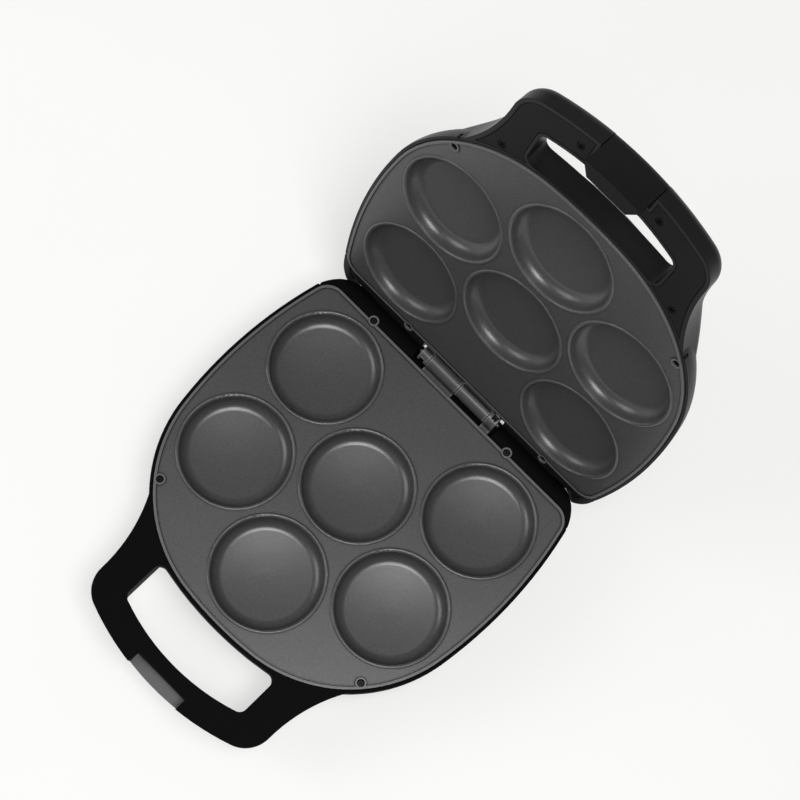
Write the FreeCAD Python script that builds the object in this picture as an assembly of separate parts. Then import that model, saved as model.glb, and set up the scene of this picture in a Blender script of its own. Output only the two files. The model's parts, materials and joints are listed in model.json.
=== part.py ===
import FreeCAD
import Part
import math
import os

V = FreeCAD.Vector

# Driving dimensions in millimetres and degrees.
# Both halves are drawn closed, with the hinge axis on X and the handles towards -Y.

# Lid and stand
OPEN_ANGLE = 105.0
HINGE_HEIGHT = 52.0
FOOT_HEIGHT = 4.0
HALF_GAP = 1.0
RIM_HALF_GAP = 1.6
FIT = 0.1
CUT_PAST = 5.0

# Wells: two side columns and a centre column set half a pitch forward
WELL_PITCH = 82.0
WELL_R = 36.8
WELL_DEPTH = 10.0
WELL_DRAFT = 15.5
WELL_FILLET_R = 7.5
FLOOR_DISH_R = 320.0
FLOOR_FLAT_R = 2.5
WELL_WALL = 2.5
BEAD_R = 38.05
BEAD_WIDTH = 2.2
BEAD_HEIGHT = 0.6

# Plate: margins round the wells, three tangent arcs on each side, a raised lip
HINGE_TO_PLATE = 9.5
REAR_MARGIN = 8.1
SIDE_MARGIN = 13.2
FRONT_MARGIN = 9.3
WIDEST_FROM_REAR_WELLS = 33.6
SIDE_R = 315.0
CORNER_R = 101.0
FRONT_R = 250.0
PLATE_REAR_CORNER_R = 13.0
PLATE_THICKNESS = 3.0
LIP_WIDTH = 1.8
LIP_HEIGHT = 0.6

# Plate screws, with rear ears that differ left and right because both plates are one casting
EAR_FAR_X = 71.6
EAR_NEAR_X = 52.1
EAR_R = 4.0
EAR_BEHIND_EDGE = 0.9
FRONT_SCREW_ANGLE = -40.4
FRONT_SCREW_INSET = 3.9
PAD_R = 3.65
PAD_HEIGHT = 2.0
SCREW_R = 1.45
SCREW_HEAD_R = 2.4
SCREW_HEAD_HEIGHT = 1.6
SCREW_REACH = 9.0
HEAD_SINK = 2.4
RECESS_ARM = 1.5
RECESS_SLOT = 0.55
RECESS_DEPTH = 0.9

# Hinge
KNUCKLE_R = 5.5
KNUCKLE_LONG = 26.2
KNUCKLE_SHORT = 7.5
KNUCKLE_GAP = 0.4
PIN_R = 1.5
PIN_PLAY = 0.05
PIN_END = 1.9
PIN_CHAMFER = 0.5
WINDOW_START = 2.4
WINDOW_LENGTH = 3.6
CLIP_R = 2.9
CLIP_WIDTH = 1.0
CLIP_PLAY = 0.05

# Housing walls
RIM = 2.4
WALL = 2.0
PLATE_PLAY = 0.4
LEDGE = 3.2
LEDGE_DEPTH = 2.4
BASE_BOTTOM_R = 10.0
RIM_BAND = 6.0
TUB_DRAFT = 12.0
BASE_REAR_CORNER_R = 33.0
LID_REAR_CORNER_R = 14.0
DECK_STEP = 0.4
DECK_R = 11.0
DECK_SWEEP = 80.0
STOP_GAP = 0.8
CHEEK_WALL = 6.0
NOTCH_PLAY = 1.0
NOTCH_DEPTH = 4.0
RIM_NICK = 1.0
RIM_NICK_LENGTH = 1.6
RIM_NICK_DEPTH = 4.0
NICK_BEHIND_FRONT = 31.1
DOME_HEIGHT = 38.0
DOME_SIDE_DROP = 19.0
DOME_END_DROP = 9.0
DOME_EDGE_R = 22.0
ROLL_CORNER_R = 28.0
ROLL_PAST_REAR = 6.0
BOSS_R = 3.9
BOSS_HOLE_R = 1.5

# Handles
HANDLE_REACH = 57.0
HANDLE_HALF_WIDTH = 75.4
HANDLE_CORNER_R = 20.8
HANDLE_FRONT_R = 185.0
NECK_R = 113.5
NECK_START = 33.5
LID_NECK_START = 55.0
ARM_WIDTH = 23.1
BASE_FINGER_DEPTH = 35.0
LID_FINGER_DEPTH = 31.8
FINGER_FRONT_R = 153.0
FINGER_CORNER_R = 5.5
LID_HANDLE_TOP = 18.5
LID_HANDLE_ROUND = 8.0
LID_SWELL = 6.5
LID_SWELL_R = 70.0
LID_SWELL_FALL_R = 42.0
LID_SWELL_BEHIND_FRONT = 26.5
BASE_HANDLE_BOTTOM = 20.0
BASE_HANDLE_ROUND = 4.0
BASE_HANDLE_DRAFT = 9.0
HANDLE_SKIN = 2.5
COVER_THICKNESS = 2.1
LID_COVER_INSET = 3.0
BASE_COVER_MARGIN = 0.6
COVER_PLAY = 0.2
ARM_SCREW_INSET = 12.0
ARM_SCREW_AHEAD = 6.8
GRIP_SCREW_X = 30.3
GRIP_SCREW_BEHIND = 12.4
COVER_SCREW_HEAD_R = 2.6
COVER_SCREW_HEAD = 1.2
COVER_SCREW_REACH = 10.0

# Latch
LATCH_HALF_WIDTH = 21.0
LATCH_PLAY = 0.4
LATCH_WALL = 3.5
LATCH_DROP = 14.0
LATCH_BLOCK = 8.5
HOOK_HEIGHT = 3.4
HOOK_REACH = 8.2
HOOK_TAPER = 6.0
LATCH_SETBACK = 0.4
LATCH_PIVOT_BEHIND = 7.0
LATCH_PIVOT_Z = 10.0
LATCH_PIN_R = 1.5
LATCH_POCKET = 13.0
LATCH_CHEEK = 2.2
STRIKE_BEHIND = 10.1
STRIKE_RIB = 2.2
STRIKE_RIB_DEPTH = 9.4
STRIKE_FLOOR_DEPTH = 15.2
STRIKE_RECESS = 6.0
SPRING_STRIP = 0.5
SPRING_HALF_WIDTH = 6.0
SPRING_FOOT = 4.5
SPRING_RISE = 11.0

# Heating
ELEMENT_R = 3.25
ELEMENT_COLUMN_X = 70.0
ELEMENT_REAR_Y = -48.0
ELEMENT_FRONT_FROM_WELL = 2.6
ELEMENT_REAR_BEND = 22.0
ELEMENT_FRONT_BEND = 42.0
ELEMENT_END_X = 20.0
COLD_PIN_R = 1.5
COLD_PIN_LENGTH = 9.0
CLAMP_SPREAD = 7.5
CLAMP_WIDTH = 9.0
CLAMP_SHEET = 1.2
CLAMP_END = 3.5
STUD_R = 3.0
CLAMP_FROM_WELL = 16.0
REFLECTOR_INSET = 32.5
REFLECTOR_REAR_INSET = 36.0
REFLECTOR_CORNER_R = 30.0
REFLECTOR_SHEET = 0.6
REFLECTOR_RIM = 2.0
REFLECTOR_BELOW_CLAMPS = 2.4
REFLECTOR_POST_R = 3.5

# Electrical pieces
THERMOSTAT_Y = -34.0
THERMOSTAT_R = 8.5
THERMOSTAT_HEIGHT = 8.0
THERMOSTAT_TAB = 6.0
THERMOSTAT_TAB_SHEET = 0.8
THERMOSTAT_TAB_WIDTH = 4.8
FUSE_X = -32.0
FUSE_Y = -28.0
FUSE_R = 2.2
FUSE_LEAD_R = 0.55
FUSE_LENGTH = 18.0
FUSE_CLIP_SHEET = 0.8
FUSE_CLIP_WIDTH = 7.0
FUSE_CLIP_FOOT = 6.0
BLOCK_X = 62.0
BLOCK_LENGTH = 34.0
BLOCK_DEPTH = 16.0
BLOCK_HEIGHT = 13.0
BLOCK_WIRE_R = 2.0
BLOCK_WAYS = 3
GLAND_X = 62.0
GLAND_DEPTH = 30.0
GLAND_BORE_R = 3.7
GLAND_NECK_R = 5.6
GLAND_FLANGE_R = 8.0
GLAND_FLANGE = 2.4
LAMP_X = 9.0
LAMP_BEHIND_FRONT = 24.0
LAMP_R = 3.5
LAMP_FLANGE_R = 4.8
LAMP_FLANGE = 1.2
LAMP_PROUD = 1.0
LAMP_EDGE_R = 0.9
LAMP_BODY_HEIGHT = 6.0
LAMP_BODY_HALF = 6.0
LAMP_POST_R = 2.2

# Feet and vents
FOOT_R = 8.0
FOOT_CHAMFER = 1.0
FOOT_PLUG_R = 4.0
FOOT_HEAD_R = 4.8
FOOT_HEAD = 1.2
FOOT_MARGIN = 1.5
FOOT_REAR_INSET = 20.0
VENT_ROWS = 5
VENT_LENGTH = 30.0
VENT_WIDTH = 3.0
VENT_PITCH = 9.0
VENT_X = 42.0

# Places worked out from the driving dimensions
COLUMN_X = WELL_PITCH * math.sqrt(3.0) / 2.0
PLATE_REAR_Y = -HINGE_TO_PLATE
REAR_WELL_Y = PLATE_REAR_Y - REAR_MARGIN - WELL_R
FRONT_WELL_Y = REAR_WELL_Y - 1.5 * WELL_PITCH
MID_WELL_Y = REAR_WELL_Y - 0.5 * WELL_PITCH
WELLS = [
    (-COLUMN_X, REAR_WELL_Y),
    (COLUMN_X, REAR_WELL_Y),
    (0.0, MID_WELL_Y),
    (-COLUMN_X, REAR_WELL_Y - WELL_PITCH),
    (COLUMN_X, REAR_WELL_Y - WELL_PITCH),
    (0.0, FRONT_WELL_Y),
]
HALF_WIDTH = COLUMN_X + WELL_R + SIDE_MARGIN
FRONT_Y = FRONT_WELL_Y - WELL_R - FRONT_MARGIN
WIDEST_Y = REAR_WELL_Y - WIDEST_FROM_REAR_WELLS
BODY_FRONT_Y = FRONT_Y - RIM

PLATE_TOP = -HALF_GAP
PLATE_UNDER = PLATE_TOP - PLATE_THICKNESS
PAD_UNDER = PLATE_UNDER - PAD_HEIGHT
FLOOR_TOP = PLATE_TOP - WELL_DEPTH
FLOOR_UNDER = FLOOR_TOP - WELL_WALL
ELEMENT_Z = FLOOR_UNDER - FIT - ELEMENT_R
CLAMP_TOP = ELEMENT_Z - ELEMENT_R - FIT
CLAMP_UNDER = CLAMP_TOP - CLAMP_SHEET
REFLECTOR_TOP = CLAMP_UNDER - REFLECTOR_BELOW_CLAMPS
REFLECTOR_UNDER = REFLECTOR_TOP - REFLECTOR_SHEET
LEDGE_TOP = PLATE_UNDER - FIT
LEDGE_UNDER = LEDGE_TOP - LEDGE_DEPTH
RIM_TOP = -RIM_HALF_GAP
BASE_BOTTOM = FOOT_HEIGHT - HINGE_HEIGHT
BASE_FLOOR = BASE_BOTTOM + WALL

# The rear decks of the two halves meet half way round the opening angle, a small stop gap apart
STOP_ANGLE = math.radians(OPEN_ANGLE / 2.0)
DECK_TOP = RIM_TOP - DECK_STEP
DECK_CENTRE_Z = DECK_TOP - DECK_R
DECK_REACH = DECK_R + STOP_GAP / 2.0 + math.cos(STOP_ANGLE) * DECK_CENTRE_Z
DECK_CENTRE_Y = -DECK_REACH / math.sin(STOP_ANGLE)
REAR_WALL_Y = DECK_CENTRE_Y + DECK_R * math.sin(math.radians(DECK_SWEEP))
POCKET_REAR_Y = PLATE_REAR_Y + PLATE_PLAY

LONG_START = KNUCKLE_GAP / 2.0
LONG_END = LONG_START + KNUCKLE_LONG
SHORT_START = LONG_END + KNUCKLE_GAP
SHORT_END = SHORT_START + KNUCKLE_SHORT
PIN_HALF = SHORT_END + PIN_END
NOTCH_HALF = PIN_HALF + NOTCH_PLAY
NOTCH_FLOOR = -KNUCKLE_R - NOTCH_DEPTH

TUB_TAN = math.tan(math.radians(TUB_DRAFT))
TUB_WAIST = RIM_TOP - RIM_BAND
TUB_TAPER = (TUB_WAIST - BASE_BOTTOM) * TUB_TAN
FOOT_INSET = TUB_TAPER + BASE_BOTTOM_R - RIM + FOOT_MARGIN
CROWN_HALF_LENGTH = (REAR_WALL_Y - BODY_FRONT_Y) / 2.0
CROWN_Y = BODY_FRONT_Y + CROWN_HALF_LENGTH
CROWN_SIDE_R = (HALF_WIDTH ** 2 + DOME_SIDE_DROP ** 2) / (2.0 * DOME_SIDE_DROP)
CROWN_END_R = (CROWN_HALF_LENGTH ** 2 + DOME_END_DROP ** 2) / (2.0 * DOME_END_DROP)

HANDLE_FRONT_Y = FRONT_Y - HANDLE_REACH
GRIP_CENTRE_Y = HANDLE_FRONT_Y + HANDLE_FRONT_R
GRIP_CORNER_X = HANDLE_HALF_WIDTH - HANDLE_CORNER_R
GRIP_CORNER_Y = GRIP_CENTRE_Y - math.sqrt((HANDLE_FRONT_R - HANDLE_CORNER_R) ** 2 - GRIP_CORNER_X ** 2)
NECK_TOP_Y = FRONT_Y + NECK_START
LID_NECK_TOP_Y = FRONT_Y + LID_NECK_START
FINGER_HALF_WIDTH = HANDLE_HALF_WIDTH - ARM_WIDTH
HANDLE_TAN = math.tan(math.radians(BASE_HANDLE_DRAFT))
HANDLE_TAPER = (RIM_TOP + BASE_HANDLE_BOTTOM) * HANDLE_TAN
BASE_COVER_INSET = HANDLE_TAPER + BASE_HANDLE_ROUND + BASE_COVER_MARGIN
ARM_SCREW_Y = FRONT_Y + ARM_SCREW_AHEAD
NECK_EDGE_X = HANDLE_HALF_WIDTH + NECK_R - math.sqrt(NECK_R ** 2 - (ARM_SCREW_Y - GRIP_CORNER_Y) ** 2)
ARM_SCREW_X = NECK_EDGE_X - ARM_SCREW_INSET
GRIP_SCREW_Y = HANDLE_FRONT_Y + (HANDLE_FRONT_R - math.sqrt(HANDLE_FRONT_R ** 2 - GRIP_SCREW_X ** 2))
COVER_SCREWS = [
    (-ARM_SCREW_X, ARM_SCREW_Y),
    (ARM_SCREW_X, ARM_SCREW_Y),
    (-GRIP_SCREW_X, GRIP_SCREW_Y + GRIP_SCREW_BEHIND),
    (GRIP_SCREW_X, GRIP_SCREW_Y + GRIP_SCREW_BEHIND),
]
LATCH_PIVOT_Y = HANDLE_FRONT_Y + LATCH_PIVOT_BEHIND
POCKET_BACK_Y = HANDLE_FRONT_Y + LATCH_POCKET
STRIKE_Y = HANDLE_FRONT_Y + STRIKE_BEHIND
BASE_COVER_TOP = COVER_THICKNESS + COVER_PLAY - BASE_HANDLE_BOTTOM
LID_COVER_UNDER = RIM_HALF_GAP + FIT
LID_COVER_TOP = LID_COVER_UNDER + COVER_THICKNESS


# Shapes shared by several pieces

def arc(cx, cy, r, start, end):
    """Arc edge in the plan, from the start angle to the end angle in radians."""
    angles = (start, (start + end) / 2.0, end)
    points = [V(cx + r * math.cos(a), cy + r * math.sin(a), 0) for a in angles]
    return Part.Arc(*points).toShape()


def line(x0, y0, x1, y1):
    return Part.LineSegment(V(x0, y0, 0), V(x1, y1, 0)).toShape()


def closed(edges):
    return Part.Wire(Part.__sortEdges__(edges))


def prism(wire, z0, z1):
    face = Part.Face(wire)
    face.translate(V(0, 0, z0))
    return face.extrude(V(0, 0, z1 - z0))


def box(x0, x1, y0, y1, z0, z1):
    return Part.makeBox(x1 - x0, y1 - y0, z1 - z0, V(x0, y0, z0))


def post(x, y, z0, z1, r):
    return Part.makeCylinder(r, z1 - z0, V(x, y, z0))


def rod(x0, x1, y, z, r):
    return Part.makeCylinder(r, x1 - x0, V(x0, y, z), V(1, 0, 0))


def side_profile(points, x0, x1):
    """Prism along X of a polygon given as (y, z) points."""
    corners = [V(x0, y, z) for y, z in points]
    wire = Part.makePolygon(corners + [corners[0]])
    return Part.Face(wire).extrude(V(x1 - x0, 0, 0))


def turned(points, x=0.0, y=0.0):
    """Solid of revolution about a vertical axis, from edges or (radius, z) points."""
    corners = [V(r, 0, z) for r, z in points]
    wire = Part.makePolygon(corners + [corners[0]])
    solid = Part.Face(wire).revolve(V(0, 0, 0), V(0, 0, 1), 360)
    solid.translate(V(x, y, 0))
    return solid


def joined(shapes):
    return shapes[0].multiFuse(shapes[1:]).removeSplitter()


def without(shape, cutters):
    return shape.cut(Part.makeCompound(cutters))


def level_edges(solid, z):
    """Edges that lie flat at height z."""
    flat = []
    for edge in solid.Edges:
        low = edge.BoundBox.ZMin
        high = edge.BoundBox.ZMax
        if abs(low - z) < FIT and abs(high - z) < FIT:
            flat.append(edge)
    return flat


def upright_edges(solid):
    return [e for e in solid.Edges if e.BoundBox.ZLength > FIT and e.BoundBox.XLength < FIT]


def flipped(shape):
    """The same casting turned over about the front-to-rear axis, for the other half."""
    copy = shape.copy()
    copy.rotate(V(0, 0, 0), V(0, 1, 0), 180)
    return copy


def mirrored(shape):
    return shape.mirror(V(0, 0, 0), V(0, 0, 1))


def corner_centre():
    """Centre of the front corner arc, tangent inside both the side arc and the front arc."""
    side = V(HALF_WIDTH - SIDE_R, WIDEST_Y, 0)
    front = V(0, FRONT_Y + FRONT_R, 0)
    to_side = SIDE_R - CORNER_R
    to_front = FRONT_R - CORNER_R
    apart = front - side
    span = apart.Length
    along = (to_side ** 2 - to_front ** 2 + span ** 2) / (2.0 * span)
    across = math.sqrt(to_side ** 2 - along ** 2)
    unit = apart * (1.0 / span)
    return side + unit * along + V(unit.y, -unit.x, 0) * across


CORNER = corner_centre()


def outline(offset, rear_y, rear_r):
    """Plan outline at an offset from the plate edge, closed by a straight rear edge."""
    side_x = HALF_WIDTH - SIDE_R
    front_cy = FRONT_Y + FRONT_R
    side_r = SIDE_R + offset
    rear_cy = rear_y - rear_r
    rear_cx = side_x + math.sqrt((side_r - rear_r) ** 2 - (rear_cy - WIDEST_Y) ** 2)
    a_rear = math.atan2(rear_cy - WIDEST_Y, rear_cx - side_x)
    a_side = math.atan2(CORNER.y - WIDEST_Y, CORNER.x - side_x)
    a_front = math.atan2(CORNER.y - front_cy, CORNER.x)
    half = [
        (rear_cx, rear_cy, rear_r, math.pi / 2.0, a_rear),
        (side_x, WIDEST_Y, side_r, a_rear, a_side),
        (CORNER.x, CORNER.y, CORNER_R + offset, a_side, a_front),
    ]
    edges = [line(-rear_cx, rear_y, rear_cx, rear_y)]
    edges.append(arc(0, front_cy, FRONT_R + offset, a_front, -math.pi - a_front))
    for cx, cy, r, start, end in half:
        edges.append(arc(cx, cy, r, start, end))
        edges.append(arc(-cx, cy, r, math.pi - start, math.pi - end))
    return closed(edges)


def plate_outline(offset):
    return outline(offset, PLATE_REAR_Y + offset, PLATE_REAR_CORNER_R + offset)


def tub_section(inset, z):
    """Base outline at height z: sides and front taper below the rim band, the rear wall is upright."""
    taper = max(0.0, (TUB_WAIST - z) * TUB_TAN)
    wire = outline(RIM - inset - taper, REAR_WALL_Y - inset, BASE_REAR_CORNER_R - inset)
    wire.translate(V(0, 0, z))
    return wire


def lid_outline(inset):
    return outline(RIM - inset, REAR_WALL_Y - inset, LID_REAR_CORNER_R - inset)


def handle_outline(inset, back_y):
    """Outer edge of a handle: concave necks, round corners and a bowed front."""
    neck_x = HANDLE_HALF_WIDTH + NECK_R
    neck_r = NECK_R + inset
    rise = back_y - GRIP_CORNER_Y
    a_top = math.pi - math.asin(rise / neck_r)
    a_grip = math.atan2(GRIP_CORNER_Y - GRIP_CENTRE_Y, GRIP_CORNER_X)
    top_x = neck_x + neck_r * math.cos(a_top)
    edges = [line(-top_x, back_y, top_x, back_y)]
    edges.append(arc(0, GRIP_CENTRE_Y, HANDLE_FRONT_R - inset, a_grip, -math.pi - a_grip))
    half = [
        (neck_x, neck_r, a_top, math.pi),
        (GRIP_CORNER_X, HANDLE_CORNER_R - inset, 0.0, a_grip),
    ]
    for cx, r, start, end in half:
        edges.append(arc(cx, GRIP_CORNER_Y, r, start, end))
        edges.append(arc(-cx, GRIP_CORNER_Y, r, math.pi - start, math.pi - end))
    return closed(edges)


def finger_opening(depth, grow, z0, z1, behind=0.0):
    """Hole of the handle between the housing front and the grip, grown outwards by a wall."""
    x = FINGER_HALF_WIDTH + grow
    rear_cy = FRONT_Y + FRONT_R
    rear_r = FRONT_R + RIM - FIT - grow - behind
    front_cy = BODY_FRONT_Y - depth + FINGER_FRONT_R
    front_r = FINGER_FRONT_R + grow
    rear_a = math.asin(x / rear_r)
    front_a = math.asin(x / front_r)
    down = -math.pi / 2.0
    rear_y = rear_cy - rear_r * math.cos(rear_a)
    front_y = front_cy - front_r * math.cos(front_a)
    edges = [
        arc(0, rear_cy, rear_r, down - rear_a, down + rear_a),
        arc(0, front_cy, front_r, down - front_a, down + front_a),
        line(-x, rear_y, -x, front_y),
        line(x, rear_y, x, front_y),
    ]
    hole = prism(closed(edges), z0, z1)
    return hole.makeFillet(FINGER_CORNER_R + grow, upright_edges(hole))


def cross_screw(x, y, top, under, head_r, head, shank_end):
    """Cross-head screw; top is the head's outer face, and it points to the shank's end."""
    way = math.copysign(1.0, shank_end - top)
    lowest = min(top, under)
    solid = post(x, y, lowest, lowest + head, head_r)
    shank = post(x, y, min(under, shank_end), max(under, shank_end), SCREW_R)
    recess_low = min(top, top + way * RECESS_DEPTH)
    slots = [
        box(x - RECESS_ARM, x + RECESS_ARM, y - RECESS_SLOT, y + RECESS_SLOT, recess_low, recess_low + RECESS_DEPTH),
        box(x - RECESS_SLOT, x + RECESS_SLOT, y - RECESS_ARM, y + RECESS_ARM, recess_low, recess_low + RECESS_DEPTH),
    ]
    return without(joined([solid, shank]), slots)


# Baking plate and what is fixed under it, in the lower position

def plate_screw_places():
    reach = CORNER_R - FRONT_SCREW_INSET
    angle = math.radians(FRONT_SCREW_ANGLE)
    front_x = CORNER.x + reach * math.cos(angle)
    front_y = CORNER.y + reach * math.sin(angle)
    ear_y = PLATE_REAR_Y + EAR_BEHIND_EDGE
    return [(-EAR_FAR_X, ear_y), (EAR_NEAR_X, ear_y), (-front_x, front_y), (front_x, front_y)]


def well_profile(radius, top, floor, fillet, dish):
    """Closed half section of a well: drafted wall, fillet and dished floor with a small flat middle."""
    draft = math.radians(WELL_DRAFT)
    slope = math.tan(draft)
    top_r = radius + slope * (top - PLATE_TOP)
    along = V(math.sin(draft), 0, math.cos(draft))
    inward = V(-math.cos(draft), 0, math.sin(draft))
    bowl = V(0, 0, floor + dish)
    start = V(radius, 0, PLATE_TOP) + inward * fillet - bowl
    middle = start.dot(along)
    sweep = math.sqrt(middle ** 2 - start.dot(start) + (dish - fillet) ** 2)
    centre = bowl + start - along * (middle + sweep)
    wall_end = centre - inward * fillet
    outward = (centre - bowl) * (1.0 / (dish - fillet))
    floor_end = bowl + outward * dish
    bend = outward - inward
    between = centre + bend * (fillet / bend.Length)
    flat_angle = math.asin(FLOOR_FLAT_R / dish)
    flat_end = bowl + V(FLOOR_FLAT_R, 0, -math.cos(flat_angle) * dish)
    half_angle = (math.atan2(outward.x, -outward.z) + flat_angle) / 2.0
    dip = bowl + V(math.sin(half_angle), 0, -math.cos(half_angle)) * dish
    edges = [
        Part.LineSegment(V(0, 0, top), V(top_r, 0, top)).toShape(),
        Part.LineSegment(V(top_r, 0, top), wall_end).toShape(),
        Part.Arc(wall_end, between, floor_end).toShape(),
        Part.Arc(floor_end, dip, flat_end).toShape(),
        Part.LineSegment(flat_end, V(0, 0, flat_end.z)).toShape(),
        Part.LineSegment(V(0, 0, flat_end.z), V(0, 0, top)).toShape(),
    ]
    return Part.Face(closed(edges))


def at_wells(face):
    solid = face.revolve(V(0, 0, 0), V(0, 0, 1), 360)
    copies = []
    for x, y in WELLS:
        copy = solid.copy()
        copy.translate(V(x, y, 0))
        copies.append(copy)
    return copies


def clamp_places():
    """Clamp centres with the direction across the tube: side columns first, then the front run."""
    rear_y = REAR_WELL_Y - CLAMP_FROM_WELL
    front_y = REAR_WELL_Y - WELL_PITCH + CLAMP_FROM_WELL
    places = []
    for x in (-ELEMENT_COLUMN_X, ELEMENT_COLUMN_X):
        places.append((x, rear_y, 1.0, 0.0))
        places.append((x, front_y, 1.0, 0.0))
    places.append((0.0, FRONT_WELL_Y - ELEMENT_FRONT_FROM_WELL, 0.0, 1.0))
    return places


def clamp_studs():
    studs = []
    for x, y, ux, uy in clamp_places():
        for side in (-CLAMP_SPREAD, CLAMP_SPREAD):
            studs.append((x + side * ux, y + side * uy))
    return studs


def reflector_posts():
    """Bosses in the free triangles between three wells."""
    inner_x = COLUMN_X / 3.0
    outer_x = 2.0 * COLUMN_X / 3.0
    low_y = MID_WELL_Y - WELL_PITCH / 2.0
    return [(-outer_x, MID_WELL_Y), (outer_x, MID_WELL_Y), (-inner_x, low_y), (inner_x, low_y)]


def knuckle(x0, x1):
    """One hinge barrel with the web that ties it to the plate's rear edge."""
    barrel = rod(x0, x1, 0, 0, KNUCKLE_R)
    web = box(x0, x1, PLATE_REAR_Y - LIP_WIDTH, 0, PLATE_UNDER, PLATE_TOP)
    return joined([barrel, web])


def baking_plate():
    blank = prism(plate_outline(0), PLATE_UNDER, PLATE_TOP)
    lip = prism(plate_outline(0), PLATE_TOP - LIP_HEIGHT, PLATE_TOP + LIP_HEIGHT)
    lip = lip.cut(prism(plate_outline(-LIP_WIDTH), PLATE_TOP - CUT_PAST, PLATE_TOP + CUT_PAST))
    slope = math.tan(math.radians(WELL_DRAFT))
    bowl_r = WELL_R + WELL_WALL / math.cos(math.radians(WELL_DRAFT)) - slope * WELL_WALL
    bowl_top = PLATE_UNDER + FIT
    bowl_fillet = WELL_FILLET_R + WELL_WALL
    bowl_dish = FLOOR_DISH_R + WELL_WALL
    bowl_face = well_profile(bowl_r + slope * WELL_WALL, bowl_top, FLOOR_UNDER, bowl_fillet, bowl_dish)
    bead_in = BEAD_R - BEAD_WIDTH / 2.0
    bead_out = BEAD_R + BEAD_WIDTH / 2.0
    bead_top = PLATE_TOP + BEAD_HEIGHT
    bead_arc = Part.Arc(V(bead_in, 0, PLATE_TOP), V(BEAD_R, 0, bead_top), V(bead_out, 0, PLATE_TOP)).toShape()
    bead_foot = Part.makePolygon([
        V(bead_out, 0, PLATE_TOP),
        V(bead_out, 0, PLATE_TOP - BEAD_HEIGHT),
        V(bead_in, 0, PLATE_TOP - BEAD_HEIGHT),
        V(bead_in, 0, PLATE_TOP),
    ])
    bead_face = Part.Face(closed([bead_arc] + bead_foot.Edges))
    solids = [blank, lip]
    solids += at_wells(bowl_face)
    solids += at_wells(bead_face)
    lip_top = PLATE_TOP + LIP_HEIGHT
    for x, y in plate_screw_places():
        solids.append(post(x, y, PAD_UNDER, lip_top, PAD_R))
    for x, y in clamp_studs():
        solids.append(post(x, y, CLAMP_TOP + FIT, FLOOR_UNDER + WELL_WALL / 2.0, STUD_R))
    for x, y in reflector_posts():
        solids.append(post(x, y, REFLECTOR_TOP + FIT, PLATE_UNDER + PLATE_THICKNESS / 2.0, REFLECTOR_POST_R))
    solids.append(knuckle(-LONG_END, -LONG_START))
    solids.append(knuckle(SHORT_START, SHORT_END))
    plate = joined(solids)
    hollow = well_profile(WELL_R, PLATE_TOP + CUT_PAST, FLOOR_TOP, WELL_FILLET_R, FLOOR_DISH_R)
    cutters = at_wells(hollow)
    for x, y in plate_screw_places():
        cutters.append(post(x, y, PLATE_TOP - HEAD_SINK, lip_top + CUT_PAST, SCREW_HEAD_R + FIT))
        cutters.append(post(x, y, PAD_UNDER - CUT_PAST, lip_top, SCREW_R + FIT))
    for x, y in clamp_studs():
        cutters.append(post(x, y, CLAMP_TOP, FLOOR_UNDER, BOSS_HOLE_R))
    for x, y in reflector_posts():
        cutters.append(post(x, y, REFLECTOR_TOP, PLATE_UNDER, BOSS_HOLE_R))
    cutters.append(rod(-NOTCH_HALF, NOTCH_HALF, 0, 0, PIN_R + PIN_PLAY))
    window_x = SHORT_START + WINDOW_START
    cutters.append(rod(window_x, window_x + WINDOW_LENGTH, 0, 0, CLIP_R + FIT))
    cutters.append(box(window_x, window_x + WINDOW_LENGTH, -PIN_R, KNUCKLE_R + CUT_PAST, -PIN_R, KNUCKLE_R + CUT_PAST))
    return without(plate, cutters).removeSplitter()


def plate_screws():
    top = PLATE_TOP - HEAD_SINK + SCREW_HEAD_HEIGHT + FIT
    under = PLATE_TOP - HEAD_SINK + FIT
    end = PAD_UNDER - SCREW_REACH
    screws = []
    for x, y in plate_screw_places():
        screws.append(cross_screw(x, y, top, under, SCREW_HEAD_R, SCREW_HEAD_HEIGHT, end))
    return Part.makeCompound(screws)


def heating_element():
    """Tubular heater: a rear run, two side columns and a front run, with cold pins at its ends."""
    rear_y = ELEMENT_REAR_Y
    front_y = FRONT_WELL_Y - ELEMENT_FRONT_FROM_WELL
    x = ELEMENT_COLUMN_X
    rear = ELEMENT_REAR_BEND
    front = ELEMENT_FRONT_BEND
    quarter = math.pi / 2.0
    edges = [
        line(ELEMENT_END_X, rear_y, x - rear, rear_y),
        arc(x - rear, rear_y - rear, rear, quarter, 0.0),
        line(x, rear_y - rear, x, front_y + front),
        arc(x - front, front_y + front, front, 0.0, -quarter),
        line(x - front, front_y, front - x, front_y),
        arc(front - x, front_y + front, front, -quarter, -2.0 * quarter),
        line(-x, front_y + front, -x, rear_y - rear),
        arc(rear - x, rear_y - rear, rear, 2.0 * quarter, quarter),
        line(rear - x, rear_y, -ELEMENT_END_X, rear_y),
    ]
    path = Part.Wire(edges)
    path.translate(V(0, 0, ELEMENT_Z))
    ring = Part.Wire([Part.makeCircle(ELEMENT_R, V(ELEMENT_END_X, rear_y, ELEMENT_Z), V(1, 0, 0))])
    tube = path.makePipeShell([ring], True, False)
    inner = ELEMENT_END_X - COLD_PIN_LENGTH
    outer = ELEMENT_END_X + COLD_PIN_LENGTH
    pins = [rod(inner, outer, rear_y, ELEMENT_Z, COLD_PIN_R)]
    pins.append(rod(-outer, -inner, rear_y, ELEMENT_Z, COLD_PIN_R))
    return joined([tube] + pins)


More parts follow.
